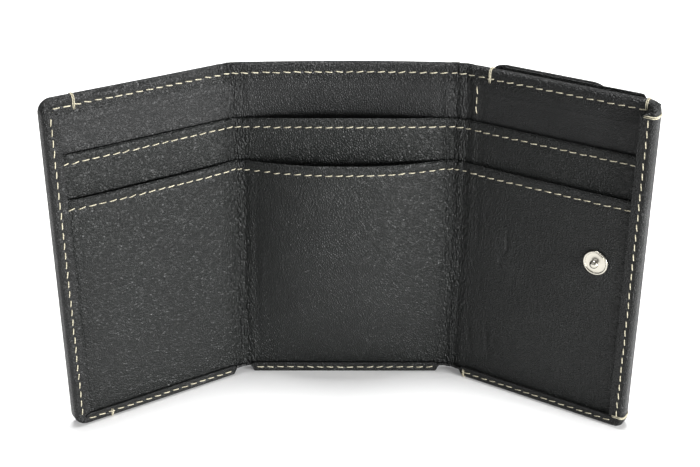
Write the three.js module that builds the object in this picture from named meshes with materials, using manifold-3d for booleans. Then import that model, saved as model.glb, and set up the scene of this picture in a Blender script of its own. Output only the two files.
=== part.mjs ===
// A trifold mini wallet in black leather, standing open on its long edge.
//
// Millimetres, +Z up. The centre panel faces -Y, and the two side panels fold forward from it.
// The origin is on the floor, in the middle of the centre panel's bottom hem. A point of a leather
// sheet is given by three distances: s along the panel, n towards the inside of the wallet from the
// inner face of the outer leather, and z above the floor.
import * as THREE from "three";
import { mergeVertices } from "three/addons/utils/BufferGeometryUtils.js";
import Module from "manifold-3d";

const wasm = await Module();
wasm.setup();

// Panels
const HEIGHT = 107;
const CENTRE_WIDTH = 64;
const LEFT_REACH = 58.5; // from the fold's axis to the free edge
const RIGHT_REACH = 59.5;
const OPEN_ANGLE = THREE.MathUtils.degToRad(33);
const LEFT_CORNER = 4;
const RIGHT_CORNER = 2;

// Leather, from the outside in
const SHELL_PLY = 0.9;
const LINING_PLY = 0.5;
const DIVIDER_PLY = 0.7;
const FRONT_PLY = 0.8;
const HEM_EXTRA = 0.25; // what a skived, turned-over top edge adds to a pocket sheet
const HEM_WIDTH = 8;
const PLY_GAP = 0.2;
const DIVIDER_TOP = 89.5;
const FRONT_TOP = 76;

// The outer leather is turned over all round and shows as a border inside
const TOP_BORDER = 5.6;
const BOTTOM_BORDER = 3.8;
const SIDE_BORDER = 4.7;
const EDGE_ROLL = 1.6;
const FOLD_CLEAR = 0.25; // between a fold's leather and the panels beside it
const NOTCH_HEIGHT = 2.6; // the bottom border is cut away at each fold

// How far the sheets stand out from each other in the middle of a panel
const BACK_BOW = 1.2;
const DIVIDER_BELLY = 3.8;
const FRONT_BELLY = 8.4;
const TOP_ARCH = 1.2;
const LEFT_BELLY = 1.2;
const RIGHT_BELLY = 0.5;
const SIDE_DIVIDER_SHARE = 0.2; // of the front sheet's belly on a side panel
const CLOSED_CLEARANCE = 0.6; // between panels when the wallet is folded shut

// Snap fasteners
const SNAP_FROM_FLOOR = 54.5;
const STUD_FROM_EDGE = 13.8;
const STUD_RADIUS = 3.9;
const STUD_FLANGE = 0.45;
const STUD_POST = 2.0;
const STUD_NECK = 1.0;
const STUD_BALL = 1.35;
const SOCKET_RADIUS = 4.9;
const SOCKET_HEIGHT = 1.4;
const SOCKET_BORE = 1.75;
const RIVET_RADIUS = 3.8;
const RIVET_PLY = 0.35;
const SHANK_OUTER = 2.55;
const SHANK_INNER = 2.15;
const SNAP_GAP = 0.1;
const STUD_GAP = 0.2; // the stud sits on leather that bellies a little
const SNAP_SIDES = 20;

// Coin pocket on the outside of the right panel
const POCKET_DEPTH = 4.5;
const POCKET_PLY = 0.8;
const POCKET_MOUTH = 7.6; // s of its open edge, near the fold
const POCKET_STEP = 3.2; // length over which its wall comes down to the panel
const POCKET_INSET = 1.2; // from the panel's top, bottom and free edges
const GUSSET_PLY = 0.5;
const GUSSET_DEPTH = 8;
const GUSSET_END = 10; // from the panel's free edge
const FLAP_BASE = 1.0; // s of the seam end of the flap
const FLAP_AXIS = 7.2; // s of its fold
const FLAP_END = 42;
const FLAP_CORNER = 7;
const FLAP_INSET = 1.8;
const FLAP_STANDOFF = 0.8; // between the pocket's wall and the closed flap
const FLAP_BEND = 2.5; // middle radius of the leather over the mouth
const FLAP_PLY = 0.8;
const FLAP_TURNED_PLY = 0.6;
const FLAP_LINING_PLY = 0.5;
const FLAP_SLOT = 1.3; // room inside the flap's turned edge
const FLAP_BORDER = 4.5;
const FLAP_SNAP_FROM_END = 10.5;
const SMALL_SNAP = 0.64; // height of the flap's socket, as a share of the large one

// Where each sheet's back face lies when the sheets are flat on each other
const LINING_BACK = PLY_GAP;
const DIVIDER_BACK = LINING_BACK + LINING_PLY + PLY_GAP + HEM_EXTRA;
const FRONT_BACK = DIVIDER_BACK + DIVIDER_PLY + PLY_GAP + HEM_EXTRA;
const STACK = FRONT_BACK + FRONT_PLY;
const TOP_SLOT = LINING_PLY + 2 * PLY_GAP;
const STACK_SLOT = STACK + PLY_GAP;

// The axes of the folds lie in front of the panels, far enough for the left panel to close on the
// centre and the right panel on the left one
const LEFT_DEPTH = (2 * STACK + FRONT_BELLY + LEFT_BELLY + CLOSED_CLEARANCE) / 2;
const CLOSED_SOCKET = 2 * LEFT_DEPTH + SHELL_PLY + SNAP_GAP + SOCKET_HEIGHT;
const STUD_FACE = STACK + RIGHT_BELLY + STUD_GAP + STUD_FLANGE;
const RIGHT_DEPTH = (CLOSED_SOCKET + CLOSED_CLEARANCE + STUD_FACE) / 2;

const STUD_S = RIGHT_REACH - STUD_FROM_EDGE;
const SOCKET_S = CENTRE_WIDTH - STUD_S; // under the stud when both panels are shut

const leather = new THREE.MeshStandardMaterial({ color: "#2a2c2d", roughness: 0.5 });
const pocketLeather = new THREE.MeshStandardMaterial({ color: "#303335", roughness: 0.55 });
const liningLeather = new THREE.MeshStandardMaterial({ color: "#35383a", roughness: 0.7 });
const nickel = new THREE.MeshStandardMaterial({ color: "#dcd9cf", roughness: 0.25, metalness: 1 });

// A closed geometry as a solid, facing out whichever way it was drawn
function toSolid(geometry) {
  const bare = geometry.index ? geometry.toNonIndexed() : geometry.clone();
  bare.deleteAttribute("normal");
  bare.deleteAttribute("uv");
  const merged = mergeVertices(bare, 1e-4);
  const triangles = new Uint32Array(merged.index.array);
  const build = () =>
    new wasm.Manifold(
      new wasm.Mesh({
        numProp: 3,
        vertProperties: new Float32Array(merged.attributes.position.array),
        triVerts: triangles,
      }),
    );
  let solid = build();
  if (solid.volume() < 0) {
    for (let i = 0; i < triangles.length; i += 3) {
      [triangles[i + 1], triangles[i + 2]] = [triangles[i + 2], triangles[i + 1]];
    }
    solid = build();
  }
  return solid;
}

function toGeometry(solid) {
  const { vertProperties, triVerts } = solid.getMesh();
  const geometry = new THREE.BufferGeometry();
  geometry.setAttribute("position", new THREE.BufferAttribute(vertProperties, 3));
  geometry.setIndex(new THREE.BufferAttribute(triVerts, 1));
  geometry.computeVertexNormals();
  return geometry;
}

function addMesh(parent, name, solid, material) {
  const mesh = new THREE.Mesh(toGeometry(solid), material);
  mesh.name = name;
  parent.add(mesh);
  return mesh;
}

// Lengths in even steps from one end to the other
function evenly(from, to, count) {
  return Array.from({ length: count + 1 }, (_, i) => THREE.MathUtils.lerp(from, to, i / count));
}

// Draws a section out through a row of stations, then carries every point to its place in the wallet
function drawOut(section, stations, place) {
  const steps = stations.length - 1;
  const geometry = new THREE.ExtrudeGeometry(section, {
    depth: steps,
    steps,
    bevelEnabled: false,
    curveSegments: 5,
  });
  const points = geometry.attributes.position;
  for (let i = 0; i < points.count; i++) {
    const station = stations[Math.round(points.getZ(i))];
    const at = place(points.getX(i), points.getY(i), station);
    points.setXYZ(i, at.x, at.y, at.z);
  }
  return toSolid(geometry);
}

// From 0 at a pocket's two side seams to 1 midway between them
function swell(share) {
  return Math.max(0, 1 - Math.abs(2 * share - 1) ** 2.4) ** 1.25;
}

// The same for a tight pocket, which lies flat over most of its width
function plateau(share) {
  return Math.max(0, 1 - Math.abs(2 * share - 1) ** 6);
}

// From 0 at the bottom seam to 1 at a pocket's mouth
function rise(z, top) {
  const share = THREE.MathUtils.clamp((z - BOTTOM_BORDER) / (top - BOTTOM_BORDER), 0, 1);
  return 1 - (1 - share) ** 3;
}

// Places on the centre panel, whose sheets belly out by the given amount
function onCentre(belly, top, arch = 0) {
  return (n, z, s) => {
    const share = swell(s / CENTRE_WIDTH + 0.5) * rise(z, top);
    return new THREE.Vector3(s, -(n + belly * share), z + arch * share);
  };
}

// Places on a side panel, measured from its fold's axis. hand is -1 on the left and 1 on the right
function onSide(side, belly = 0, top = HEIGHT) {
  const flatEnd = side.reach - SIDE_BORDER;
  return (n, z, s) => {
    const out = belly * plateau(s / flatEnd) * rise(z, top);
    return new THREE.Vector3(side.hand * s, side.depth - n - out, z);
  };
}

// Places on the leather of a fold, where s is the angle about the fold's axis
function onFold(side) {
  return (n, z, s) => {
    const radius = side.depth - n;
    const x = side.hand * (CENTRE_WIDTH / 2 + radius * Math.sin(s));
    return new THREE.Vector3(x, radius * Math.cos(s) - side.depth, z);
  };
}

// Adds points up or down one face, so that it can bend
function runFace(shape, n, fromZ, toZ, count) {
  for (let i = 1; i <= count; i++) {
    shape.lineTo(n, THREE.MathUtils.lerp(fromZ, toZ, i / count));
  }
}

// The section of the outer leather: a wall turned over at the top round the lining, and turned up
// at the bottom round all the sheets, or cut off above a notch at a fold
function shellSection(notched, count) {
  const roll = TOP_SLOT / 2;
  const rollZ = HEIGHT - SHELL_PLY - roll;
  const foot = notched ? NOTCH_HEIGHT : SHELL_PLY;
  const shape = new THREE.Shape();
  shape.moveTo(-SHELL_PLY, foot);
  runFace(shape, -SHELL_PLY, foot, rollZ, count);
  shape.absarc(roll, rollZ, roll + SHELL_PLY, Math.PI, 0, true);
  shape.lineTo(TOP_SLOT + SHELL_PLY, HEIGHT - TOP_BORDER);
  shape.lineTo(TOP_SLOT, HEIGHT - TOP_BORDER);
  shape.lineTo(TOP_SLOT, rollZ);
  shape.absarc(roll, rollZ, roll, 0, Math.PI, false);
  runFace(shape, 0, rollZ, foot, count);
  if (notched) {
    return shape;
  }
  shape.lineTo(STACK_SLOT, SHELL_PLY);
  shape.lineTo(STACK_SLOT, BOTTOM_BORDER);
  shape.lineTo(STACK_SLOT + SHELL_PLY, BOTTOM_BORDER);
  shape.lineTo(STACK_SLOT + SHELL_PLY, SHELL_PLY);
  shape.absarc(STACK_SLOT, SHELL_PLY, SHELL_PLY, 0, -Math.PI / 2, true);
  shape.lineTo(0, 0);
  shape.absarc(0, SHELL_PLY, SHELL_PLY, -Math.PI / 2, -Math.PI, true);
  return shape;
}

// The section of a plain sheet, from the bottom border's fold to its top
function plainSection(back, ply, foot, top, count) {
  const shape = new THREE.Shape();
  shape.moveTo(back, foot);
  shape.lineTo(back, BOTTOM_BORDER);
  runFace(shape, back, BOTTOM_BORDER, top, count);
  shape.lineTo(back + ply, top);
  runFace(shape, back + ply, top, BOTTOM_BORDER, count);
  shape.lineTo(back + ply, foot);
  return shape;
}

// The section of a pocket sheet, whose top edge is turned over to the back and rounded
function hemmedSection(back, ply, foot, top, count) {
  const roll = (ply + HEM_EXTRA) / 2;
  const hemFoot = top - HEM_WIDTH;
  const shape = new THREE.Shape();
  shape.moveTo(back, foot);
  shape.lineTo(back, BOTTOM_BORDER);
  runFace(shape, back, BOTTOM_BORDER, hemFoot, count);
  shape.lineTo(back - HEM_EXTRA, hemFoot + 2 * HEM_EXTRA);
  shape.lineTo(back - HEM_EXTRA, top - roll);
  shape.absarc(back - HEM_EXTRA + roll, top - roll, roll, Math.PI, 0, true);
  shape.lineTo(back + ply, hemFoot);
  runFace(shape, back + ply, hemFoot, BOTTOM_BORDER, count);
  shape.lineTo(back + ply, foot);
  return shape;
}

// A panel's outline seen from the front, drawn in by inset, with its two free corners rounded
function outline(reach, height, inset, corner, from) {
  const radius = Math.max(corner - inset, 0.3);
  const end = reach - inset;
  const top = height - inset;
  const shape = new THREE.Shape();
  shape.moveTo(from, inset);
  shape.lineTo(end - radius, inset);
  shape.absarc(end - radius, inset + radius, radius, -Math.PI / 2, 0, false);
  shape.lineTo(end, top - radius);
  shape.absarc(end - radius, top - radius, radius, 0, Math.PI / 2, false);
  shape.lineTo(from, top);
  return shape;
}

// A slab with an outline in s and z, from one depth n to another, placed on a side panel
function slab(side, shape, fromN, toN) {
  return drawOut(shape, [fromN, toN], (s, z, n) => onSide(side)(n, z, s));
}

// The outer leather of a side panel: the swept wall and hems, closed by the border at its free edge
function sideShell(side) {
  const thick = STACK_SLOT + 2 * SHELL_PLY;
  const borderFrom = side.reach - SIDE_BORDER;
  const overlap = 0.4;
  const wall = drawOut(shellSection(false, 1), [FOLD_CLEAR, borderFrom + overlap], onSide(side));
  const edge = new THREE.Shape();
  edge.moveTo(borderFrom, -SHELL_PLY);
  edge.lineTo(side.reach - EDGE_ROLL, -SHELL_PLY);
  edge.absarc(side.reach - EDGE_ROLL, EDGE_ROLL - SHELL_PLY, EDGE_ROLL, -Math.PI / 2, 0, false);
  edge.lineTo(side.reach, thick - SHELL_PLY - EDGE_ROLL);
  edge.absarc(
    side.reach - EDGE_ROLL,
    thick - SHELL_PLY - EDGE_ROLL,
    EDGE_ROLL,
    0,
    Math.PI / 2,
    false,
  );
  edge.lineTo(borderFrom, thick - SHELL_PLY);
  const border = drawOut(edge, [0, HEIGHT], (s, n, z) => onSide(side)(n, z, s));
  const slotOutline = outline(side.reach, HEIGHT, SHELL_PLY, side.corner, 0);
  const slot = slab(side, slotOutline, 0, STACK_SLOT);
  const rounded = slab(side, outline(side.reach, HEIGHT, 0, side.corner, -1), -thick, 2 * thick);
  return wall.add(border.subtract(slot)).intersect(rounded);
}

// A sheet of a side panel, its free end tucked into the border
function sideSheet(side, section, count, belly, top) {
  const tucked = side.reach - SHELL_PLY - PLY_GAP;
  const stations = [...evenly(FOLD_CLEAR, side.reach - SIDE_BORDER, count), tucked];
  const sheet = drawOut(section, stations, onSide(side, belly, top));
  const inside = outline(side.reach, HEIGHT, SHELL_PLY + PLY_GAP, side.corner, -1);
  return sheet.intersect(slab(side, inside, -STACK, 3 * STACK));
}

// A round piece about its own upright axis, from a profile of radius and height
function roundPiece(profile) {
  const points = profile.map(([r, h]) => new THREE.Vector2(r, h));
  return toSolid(new THREE.LatheGeometry(points, SNAP_SIDES));
}

// Sets a round piece on a panel, with its height pointing into the wallet where inward is true
function placeOnSide(solid, side, s, n, inward) {
  const turned = inward ? solid.rotate([180, 0, 0]) : solid;
  return turned.translate([side.hand * s, side.depth - n, SNAP_FROM_FLOOR]);
}

// A straight hole through leather, for a rivet's shank or head
function drill(side, s, fromN, toN, radius) {
  const cylinder = new THREE.CylinderGeometry(radius, radius, toN - fromN, SNAP_SIDES);
  const hole = toSolid(cylinder);
  return hole.translate([side.hand * s, side.depth - (fromN + toN) / 2, SNAP_FROM_FLOOR]);
}

// The spring half of a snap: a ring with a rolled rim, grooved below for its rivet's shank
function snapSocket(height) {
  const seat = height * 0.45;
  return roundPiece([
    [SOCKET_BORE, seat * 0.4],
    [SHANK_INNER - SNAP_GAP, 0],
    [SHANK_INNER - SNAP_GAP, seat],
    [SHANK_OUTER + SNAP_GAP, seat],
    [SHANK_OUTER + SNAP_GAP, 0],
    [SOCKET_RADIUS - 0.25, 0],
    [SOCKET_RADIUS, height * 0.3],
    [SOCKET_RADIUS - 0.3, height * 0.62],
    [SOCKET_RADIUS * 0.72, height * 0.7],
    [SOCKET_RADIUS * 0.6, height],
    [SOCKET_BORE + 0.35, height],
    [SOCKET_BORE, height * 0.8],
    [SOCKET_BORE, seat * 0.4],
  ]);
}

// The rivet that holds either half: a flat ring with a hollow shank
function snapRivet(shank) {
  return roundPiece([
    [SHANK_INNER, 0],
    [RIVET_RADIUS, 0],
    [RIVET_RADIUS, RIVET_PLY],
    [SHANK_OUTER, RIVET_PLY],
    [SHANK_OUTER, RIVET_PLY + shank],
    [SHANK_INNER, RIVET_PLY + shank],
    [SHANK_INNER, 0],
  ]);
}

// The stud half: a flange with a raised rim, a dished middle and a ball on a neck
function snapStud() {
  const dish = STUD_FLANGE * 0.55;
  const groove = STUD_FLANGE * 0.3;
  const ballZ = STUD_FLANGE + STUD_POST - STUD_BALL * 0.75;
  const ball = [-40, -10, 20, 50].map((degrees) => {
    const angle = THREE.MathUtils.degToRad(degrees);
    return [STUD_BALL * Math.cos(angle), ballZ + STUD_BALL * 0.75 * Math.sin(angle)];
  });
  return roundPiece([
    [0, 0],
    [SHANK_INNER - SNAP_GAP, 0],
    [SHANK_INNER - SNAP_GAP, groove],
    [SHANK_OUTER + SNAP_GAP, groove],
    [SHANK_OUTER + SNAP_GAP, 0],
    [STUD_RADIUS - 0.15, 0],
    [STUD_RADIUS, STUD_FLANGE * 0.5],
    [STUD_RADIUS - 0.35, STUD_FLANGE],
    [STUD_RADIUS - 0.8, dish],
    [STUD_BALL + 0.6, dish],
    [STUD_NECK, STUD_FLANGE + 0.2],
    ...ball,
    [0, STUD_FLANGE + STUD_POST],
  ]);
}

// The three sheets inside the wallet, from the back to the front
const SHEETS = [
  {
    name: "lining",
    material: liningLeather,
    top: HEIGHT - SHELL_PLY - PLY_GAP,
    mouth: HEIGHT,
    belly: -BACK_BOW,
    arch: 0,
    sideShare: 0,
    section: (foot, count, top) => plainSection(LINING_BACK, LINING_PLY, foot, top, count),
  },
  {
    name: "divider",
    material: pocketLeather,
    top: DIVIDER_TOP,
    mouth: DIVIDER_TOP,
    belly: DIVIDER_BELLY,
    arch: TOP_ARCH,
    sideShare: SIDE_DIVIDER_SHARE,
    section: (foot, count, top) => hemmedSection(DIVIDER_BACK, DIVIDER_PLY, foot, top, count),
  },
  {
    name: "front_pocket",
    material: pocketLeather,
    top: FRONT_TOP,
    mouth: FRONT_TOP,
    belly: FRONT_BELLY,
    arch: TOP_ARCH,
    sideShare: 1,
    section: (foot, count, top) => hemmedSection(FRONT_BACK, FRONT_PLY, foot, top, count),
  },
];
const SHEET_FOOT = SHELL_PLY + PLY_GAP;

const LEFT = {
  name: "left",
  hand: -1,
  reach: LEFT_REACH,
  depth: LEFT_DEPTH,
  corner: LEFT_CORNER,
  belly: LEFT_BELLY,
};
const RIGHT = {
  name: "right",
  hand: 1,
  reach: RIGHT_REACH,
  depth: RIGHT_DEPTH,
  corner: RIGHT_CORNER,
  belly: RIGHT_BELLY,
};

function buildCentre(parent) {
  const half = CENTRE_WIDTH / 2;
  const bow = onCentre(-BACK_BOW, HEIGHT);
  const shell = drawOut(shellSection(false, 5), evenly(-half, half, 10), bow);
  addMesh(parent, "centre_shell", shell, leather);
  for (const sheet of SHEETS) {
    const section = sheet.section(SHEET_FOOT, 6, sheet.top);
    const place = onCentre(sheet.belly, sheet.mouth, sheet.arch);
    const solid = drawOut(section, evenly(-half, half, 12), place);
    addMesh(parent, "centre_" + sheet.name, solid, sheet.material);
  }
}

// The leather that bends at a fold, from the centre panel's end to the side panel's start
function buildFold(parent, side) {
  const start = FOLD_CLEAR / (side.depth - STACK_SLOT);
  const place = onFold(side);
  const angles = evenly(start, OPEN_ANGLE, 4);
  const shell = drawOut(shellSection(true, 1), angles, place);
  addMesh(parent, side.name + "_fold_shell", shell, leather);
  for (const sheet of SHEETS) {
    const foot = Math.max(NOTCH_HEIGHT, SHEET_FOOT);
    const strip = drawOut(sheet.section(foot, 1, sheet.top), angles, place);
    addMesh(parent, side.name + "_fold_" + sheet.name, strip, sheet.material);
  }
}

function buildSidePanel(side) {
  const panel = new THREE.Group();
  panel.position.set((side.hand * CENTRE_WIDTH) / 2, -side.depth, 0);
  panel.rotation.z = -side.hand * OPEN_ANGLE;
  for (const sheet of SHEETS) {
    const belly = side.belly * sheet.sideShare;
    const section = sheet.section(SHEET_FOOT, belly ? 4 : 1, sheet.top);
    let solid = sideSheet(side, section, belly ? 8 : 1, belly, sheet.mouth);
    if (side === RIGHT && sheet.name === "front_pocket") {
      solid = solid.subtract(drill(side, STUD_S, 0, 3 * STACK, SHANK_OUTER + SNAP_GAP));
    }
    addMesh(panel, side.name + "_" + sheet.name, solid, sheet.material);
  }
  return panel;
}

// The closing snap's spring half, on the outside of the left panel
function buildLeftHardware(panel) {
  const headRoom = RIVET_PLY + SNAP_GAP;
  const hole = drill(LEFT, SOCKET_S, -2 * SHELL_PLY, SHELL_PLY, SHANK_OUTER + SNAP_GAP);
  const head = drill(LEFT, SOCKET_S, -headRoom, SHELL_PLY, RIVET_RADIUS + SNAP_GAP);
  const shell = sideShell(LEFT).subtract(hole).subtract(head);
  addMesh(panel, "left_shell", shell, leather);
  const socket = placeOnSide(snapSocket(SOCKET_HEIGHT), LEFT, SOCKET_S, -SHELL_PLY - SNAP_GAP, false);
  addMesh(panel, "closing_socket", socket, nickel);
  const shank = SHELL_PLY - headRoom + SNAP_GAP + SOCKET_HEIGHT * 0.3;
  const rivet = placeOnSide(snapRivet(shank), LEFT, SOCKET_S, 0, false);
  addMesh(panel, "closing_socket_rivet", rivet, nickel);
}

// The closing snap's stud, through the front pocket of the right panel
function buildRightHardware(panel) {
  const standing = RIGHT_BELLY * plateau(STUD_S / (RIGHT_REACH - SIDE_BORDER));
  const face = STACK + standing;
  addMesh(panel, "right_shell", sideShell(RIGHT), leather);
  const stud = placeOnSide(snapStud(), RIGHT, STUD_S, face + STUD_GAP, true);
  addMesh(panel, "closing_stud", stud, nickel);
  const back = face - FRONT_PLY - STUD_GAP - RIVET_PLY;
  const shank = FRONT_PLY + 2 * STUD_GAP;
  const rivet = placeOnSide(snapRivet(shank), RIGHT, STUD_S, back, true);
  addMesh(panel, "closing_stud_rivet", rivet, nickel);
}

// The coin pocket's distances out from the panel's wall plane, so n is minus each of these
const POCKET_WALL_IN = SHELL_PLY + POCKET_DEPTH;
const POCKET_WALL_OUT = POCKET_WALL_IN + POCKET_PLY;
const FLAP_FACE = POCKET_WALL_OUT + FLAP_STANDOFF;
const FLAP_SLOT_IN = FLAP_FACE + FLAP_TURNED_PLY;
const FLAP_SLOT_OUT = FLAP_SLOT_IN + FLAP_SLOT;
const FLAP_OUT = FLAP_SLOT_OUT + FLAP_PLY;
const FLAP_AXIS_OUT = FLAP_OUT - FLAP_PLY / 2 - FLAP_BEND;
const FLAP_SNAP_S = FLAP_END - FLAP_SNAP_FROM_END;
const FLAP_LINING_IN = FLAP_SLOT_IN + SNAP_GAP;

// The pocket's outer wall: flat over the coins, then down to the panel near its free edge
function coinWallSection() {
  const flangeEnd = RIGHT_REACH - POCKET_INSET;
  const flangeStart = RIGHT_REACH - SIDE_BORDER;
  const stepStart = flangeStart - POCKET_STEP;
  const seat = SHELL_PLY + SNAP_GAP;
  const shape = new THREE.Shape();
  shape.moveTo(POCKET_MOUTH, POCKET_WALL_IN);
  shape.lineTo(stepStart, POCKET_WALL_IN);
  shape.bezierCurveTo(
    stepStart + POCKET_STEP / 2,
    POCKET_WALL_IN,
    flangeStart - POCKET_STEP / 2,
    seat,
    flangeStart,
    seat,
  );
  shape.lineTo(flangeEnd, seat);
  shape.lineTo(flangeEnd, seat + POCKET_PLY);
  shape.lineTo(flangeStart + POCKET_PLY / 2, seat + POCKET_PLY);
  shape.bezierCurveTo(
    flangeStart + POCKET_PLY / 2 - POCKET_STEP / 2,
    seat + POCKET_PLY,
    stepStart + POCKET_PLY / 2 + POCKET_STEP / 2,
    POCKET_WALL_OUT,
    stepStart + POCKET_PLY / 2,
    POCKET_WALL_OUT,
  );
  shape.lineTo(POCKET_MOUTH + POCKET_PLY / 2, POCKET_WALL_OUT);
  shape.absarc(
    POCKET_MOUTH + POCKET_PLY / 2,
    POCKET_WALL_OUT - POCKET_PLY / 2,
    POCKET_PLY / 2,
    Math.PI / 2,
    Math.PI,
    false,
  );
  return shape;
}

// The section of the folded strip that closes the pocket at its top or bottom. It dips into the
// pocket like a V, and its two legs lie against the panel and the pocket's wall
function gussetSection() {
  const panelLeg = SHELL_PLY + SNAP_GAP;
  const wallLeg = POCKET_WALL_IN - SNAP_GAP;
  const middle = (panelLeg + wallLeg) / 2;
  const shape = new THREE.Shape();
  shape.moveTo(panelLeg, 0);
  shape.lineTo(middle - GUSSET_PLY, -GUSSET_DEPTH);
  shape.lineTo(middle + GUSSET_PLY, -GUSSET_DEPTH);
  shape.lineTo(wallLeg, 0);
  shape.lineTo(wallLeg - GUSSET_PLY, 0);
  shape.lineTo(middle, 2 * GUSSET_PLY - GUSSET_DEPTH);
  shape.lineTo(panelLeg + GUSSET_PLY, 0);
  return shape;
}

function buildCoinPocket(panel) {
  const low = POCKET_INSET;
  const high = HEIGHT - POCKET_INSET;
  const outward = (s, out, z) => onSide(RIGHT)(-out, z, s);
  const hole = drill(RIGHT, FLAP_SNAP_S, -POCKET_WALL_OUT - 1, -SHELL_PLY - 1, SHANK_OUTER + SNAP_GAP);
  const wall = drawOut(coinWallSection(), [low, high], outward).subtract(hole);
  addMesh(panel, "coin_pocket_wall", wall, pocketLeather);
  const end = RIGHT_REACH - GUSSET_END;
  for (const [name, edge, up] of [
    ["coin_pocket_top_gusset", high, 1],
    ["coin_pocket_bottom_gusset", low, -1],
  ]) {
    const place = (out, dip, s) => outward(s, out, edge + up * dip);
    addMesh(panel, name, drawOut(gussetSection(), [POCKET_MOUTH, end], place), pocketLeather);
  }
  const stud = placeOnSide(snapStud(), RIGHT, FLAP_SNAP_S, -POCKET_WALL_OUT - SNAP_GAP, false);
  addMesh(panel, "coin_flap_stud", stud, nickel);
  const rivetBack = -POCKET_WALL_IN + SNAP_GAP + RIVET_PLY;
  const rivet = placeOnSide(snapRivet(POCKET_PLY + SNAP_GAP), RIGHT, FLAP_SNAP_S, rivetBack, false);
  addMesh(panel, "coin_flap_stud_rivet", rivet, nickel);
}

// The leather that bends over the pocket's mouth: sewn to the panel at its foot, it rises past the
// pocket's open edge and turns over towards the flap
function flapHingeSection() {
  const seat = SHELL_PLY + SNAP_GAP;
  const outer = FLAP_BEND + FLAP_PLY / 2;
  const inner = FLAP_BEND - FLAP_PLY / 2;
  const riserOut = FLAP_AXIS - outer;
  const shape = new THREE.Shape();
  shape.moveTo(FLAP_BASE, seat);
  shape.lineTo(riserOut + FLAP_PLY, seat);
  shape.lineTo(riserOut + FLAP_PLY, FLAP_AXIS_OUT);
  shape.absarc(FLAP_AXIS, FLAP_AXIS_OUT, inner, Math.PI, Math.PI / 2, true);
  shape.lineTo(FLAP_AXIS, FLAP_AXIS_OUT + outer);
  shape.absarc(FLAP_AXIS, FLAP_AXIS_OUT, outer, Math.PI / 2, Math.PI, false);
  shape.lineTo(riserOut, seat + FLAP_PLY);
  shape.lineTo(FLAP_BASE, seat + FLAP_PLY);
  return shape;
}

// The flap turns about the bend over the pocket's mouth, and its group's origin is on that axis
function buildCoinFlap() {
  const flap = new THREE.Group();
  flap.position.set(FLAP_AXIS, RIGHT_DEPTH + FLAP_AXIS_OUT, 0);
  const toFlap = (solid) => solid.translate([-FLAP_AXIS, -RIGHT_DEPTH - FLAP_AXIS_OUT, 0]);
  const start = FLAP_AXIS + FOLD_CLEAR;
  const height = HEIGHT - FLAP_INSET;
  const shapeAt = (inset) => outline(FLAP_END, height - FLAP_INSET, inset, FLAP_CORNER, start - 1);
  const plate = (inset, fromOut, toOut) =>
    slab(RIGHT, shapeAt(inset), -toOut, -fromOut).translate([0, 0, FLAP_INSET]);
  const keep = toSolid(new THREE.BoxGeometry(FLAP_END, 4 * FLAP_OUT, 2 * HEIGHT)).translate([
    start + FLAP_END / 2,
    RIGHT_DEPTH + FLAP_OUT,
    HEIGHT / 2,
  ]);
  const cover = plate(0, FLAP_FACE, FLAP_OUT)
    .subtract(plate(FLAP_PLY, FLAP_SLOT_IN, FLAP_SLOT_OUT))
    .subtract(plate(FLAP_BORDER, FLAP_FACE - 1, FLAP_SLOT_OUT))
    .intersect(keep);
  addMesh(flap, "coin_flap_cover", toFlap(cover), leather);
  const hole = drill(RIGHT, FLAP_SNAP_S, -FLAP_OUT + FLAP_PLY, -FLAP_FACE, SHANK_OUTER + SNAP_GAP);
  const lining = plate(FLAP_PLY + PLY_GAP, FLAP_LINING_IN, FLAP_LINING_IN + FLAP_LINING_PLY)
    .intersect(keep)
    .subtract(hole);
  addMesh(flap, "coin_flap_lining", toFlap(lining), liningLeather);
  const socket = placeOnSide(
    snapSocket(SOCKET_HEIGHT * SMALL_SNAP),
    RIGHT,
    FLAP_SNAP_S,
    -FLAP_LINING_IN + SNAP_GAP,
    true,
  );
  addMesh(flap, "coin_flap_socket", toFlap(socket), nickel);
  const rivetOut = FLAP_LINING_IN + FLAP_LINING_PLY + SNAP_GAP + RIVET_PLY;
  const rivet = placeOnSide(snapRivet(FLAP_LINING_PLY + 2 * SNAP_GAP), RIGHT, FLAP_SNAP_S, -rivetOut, true);
  addMesh(flap, "coin_flap_socket_rivet", toFlap(rivet), nickel);
  const outward = (s, out, z) => onSide(RIGHT)(-out, z, s);
  const hinge = drawOut(flapHingeSection(), [FLAP_INSET, height], outward);
  addMesh(flap, "coin_flap_hinge", toFlap(hinge), leather);
  return flap;
}

const wallet = new THREE.Group();
wallet.position.y = STACK_SLOT / 2;
buildCentre(wallet);
buildFold(wallet, LEFT);
buildFold(wallet, RIGHT);
const leftPanel = buildSidePanel(LEFT);
buildLeftHardware(leftPanel);
const rightPanel = buildSidePanel(RIGHT);
buildRightHardware(rightPanel);
buildCoinPocket(rightPanel);
rightPanel.add(buildCoinFlap());
wallet.add(leftPanel, rightPanel);
const part = new THREE.Group();
part.add(wallet);

export default part;
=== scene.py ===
"""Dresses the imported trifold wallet: continuous leather, sewn edges, snaps and a coin pocket.

Lengths inside the classes are millimetres. A point of the wallet's leather is given by u, the
distance along the unfolded wallet from its middle, n, the depth towards the inside from the inner
face of the outer leather, and z, the height above the floor. Form.place turns them into metres in
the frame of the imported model.
"""

from __future__ import annotations

import logging
import math
from dataclasses import dataclass, field
from enum import Enum
from functools import partial
from typing import Callable, Sequence

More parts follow.
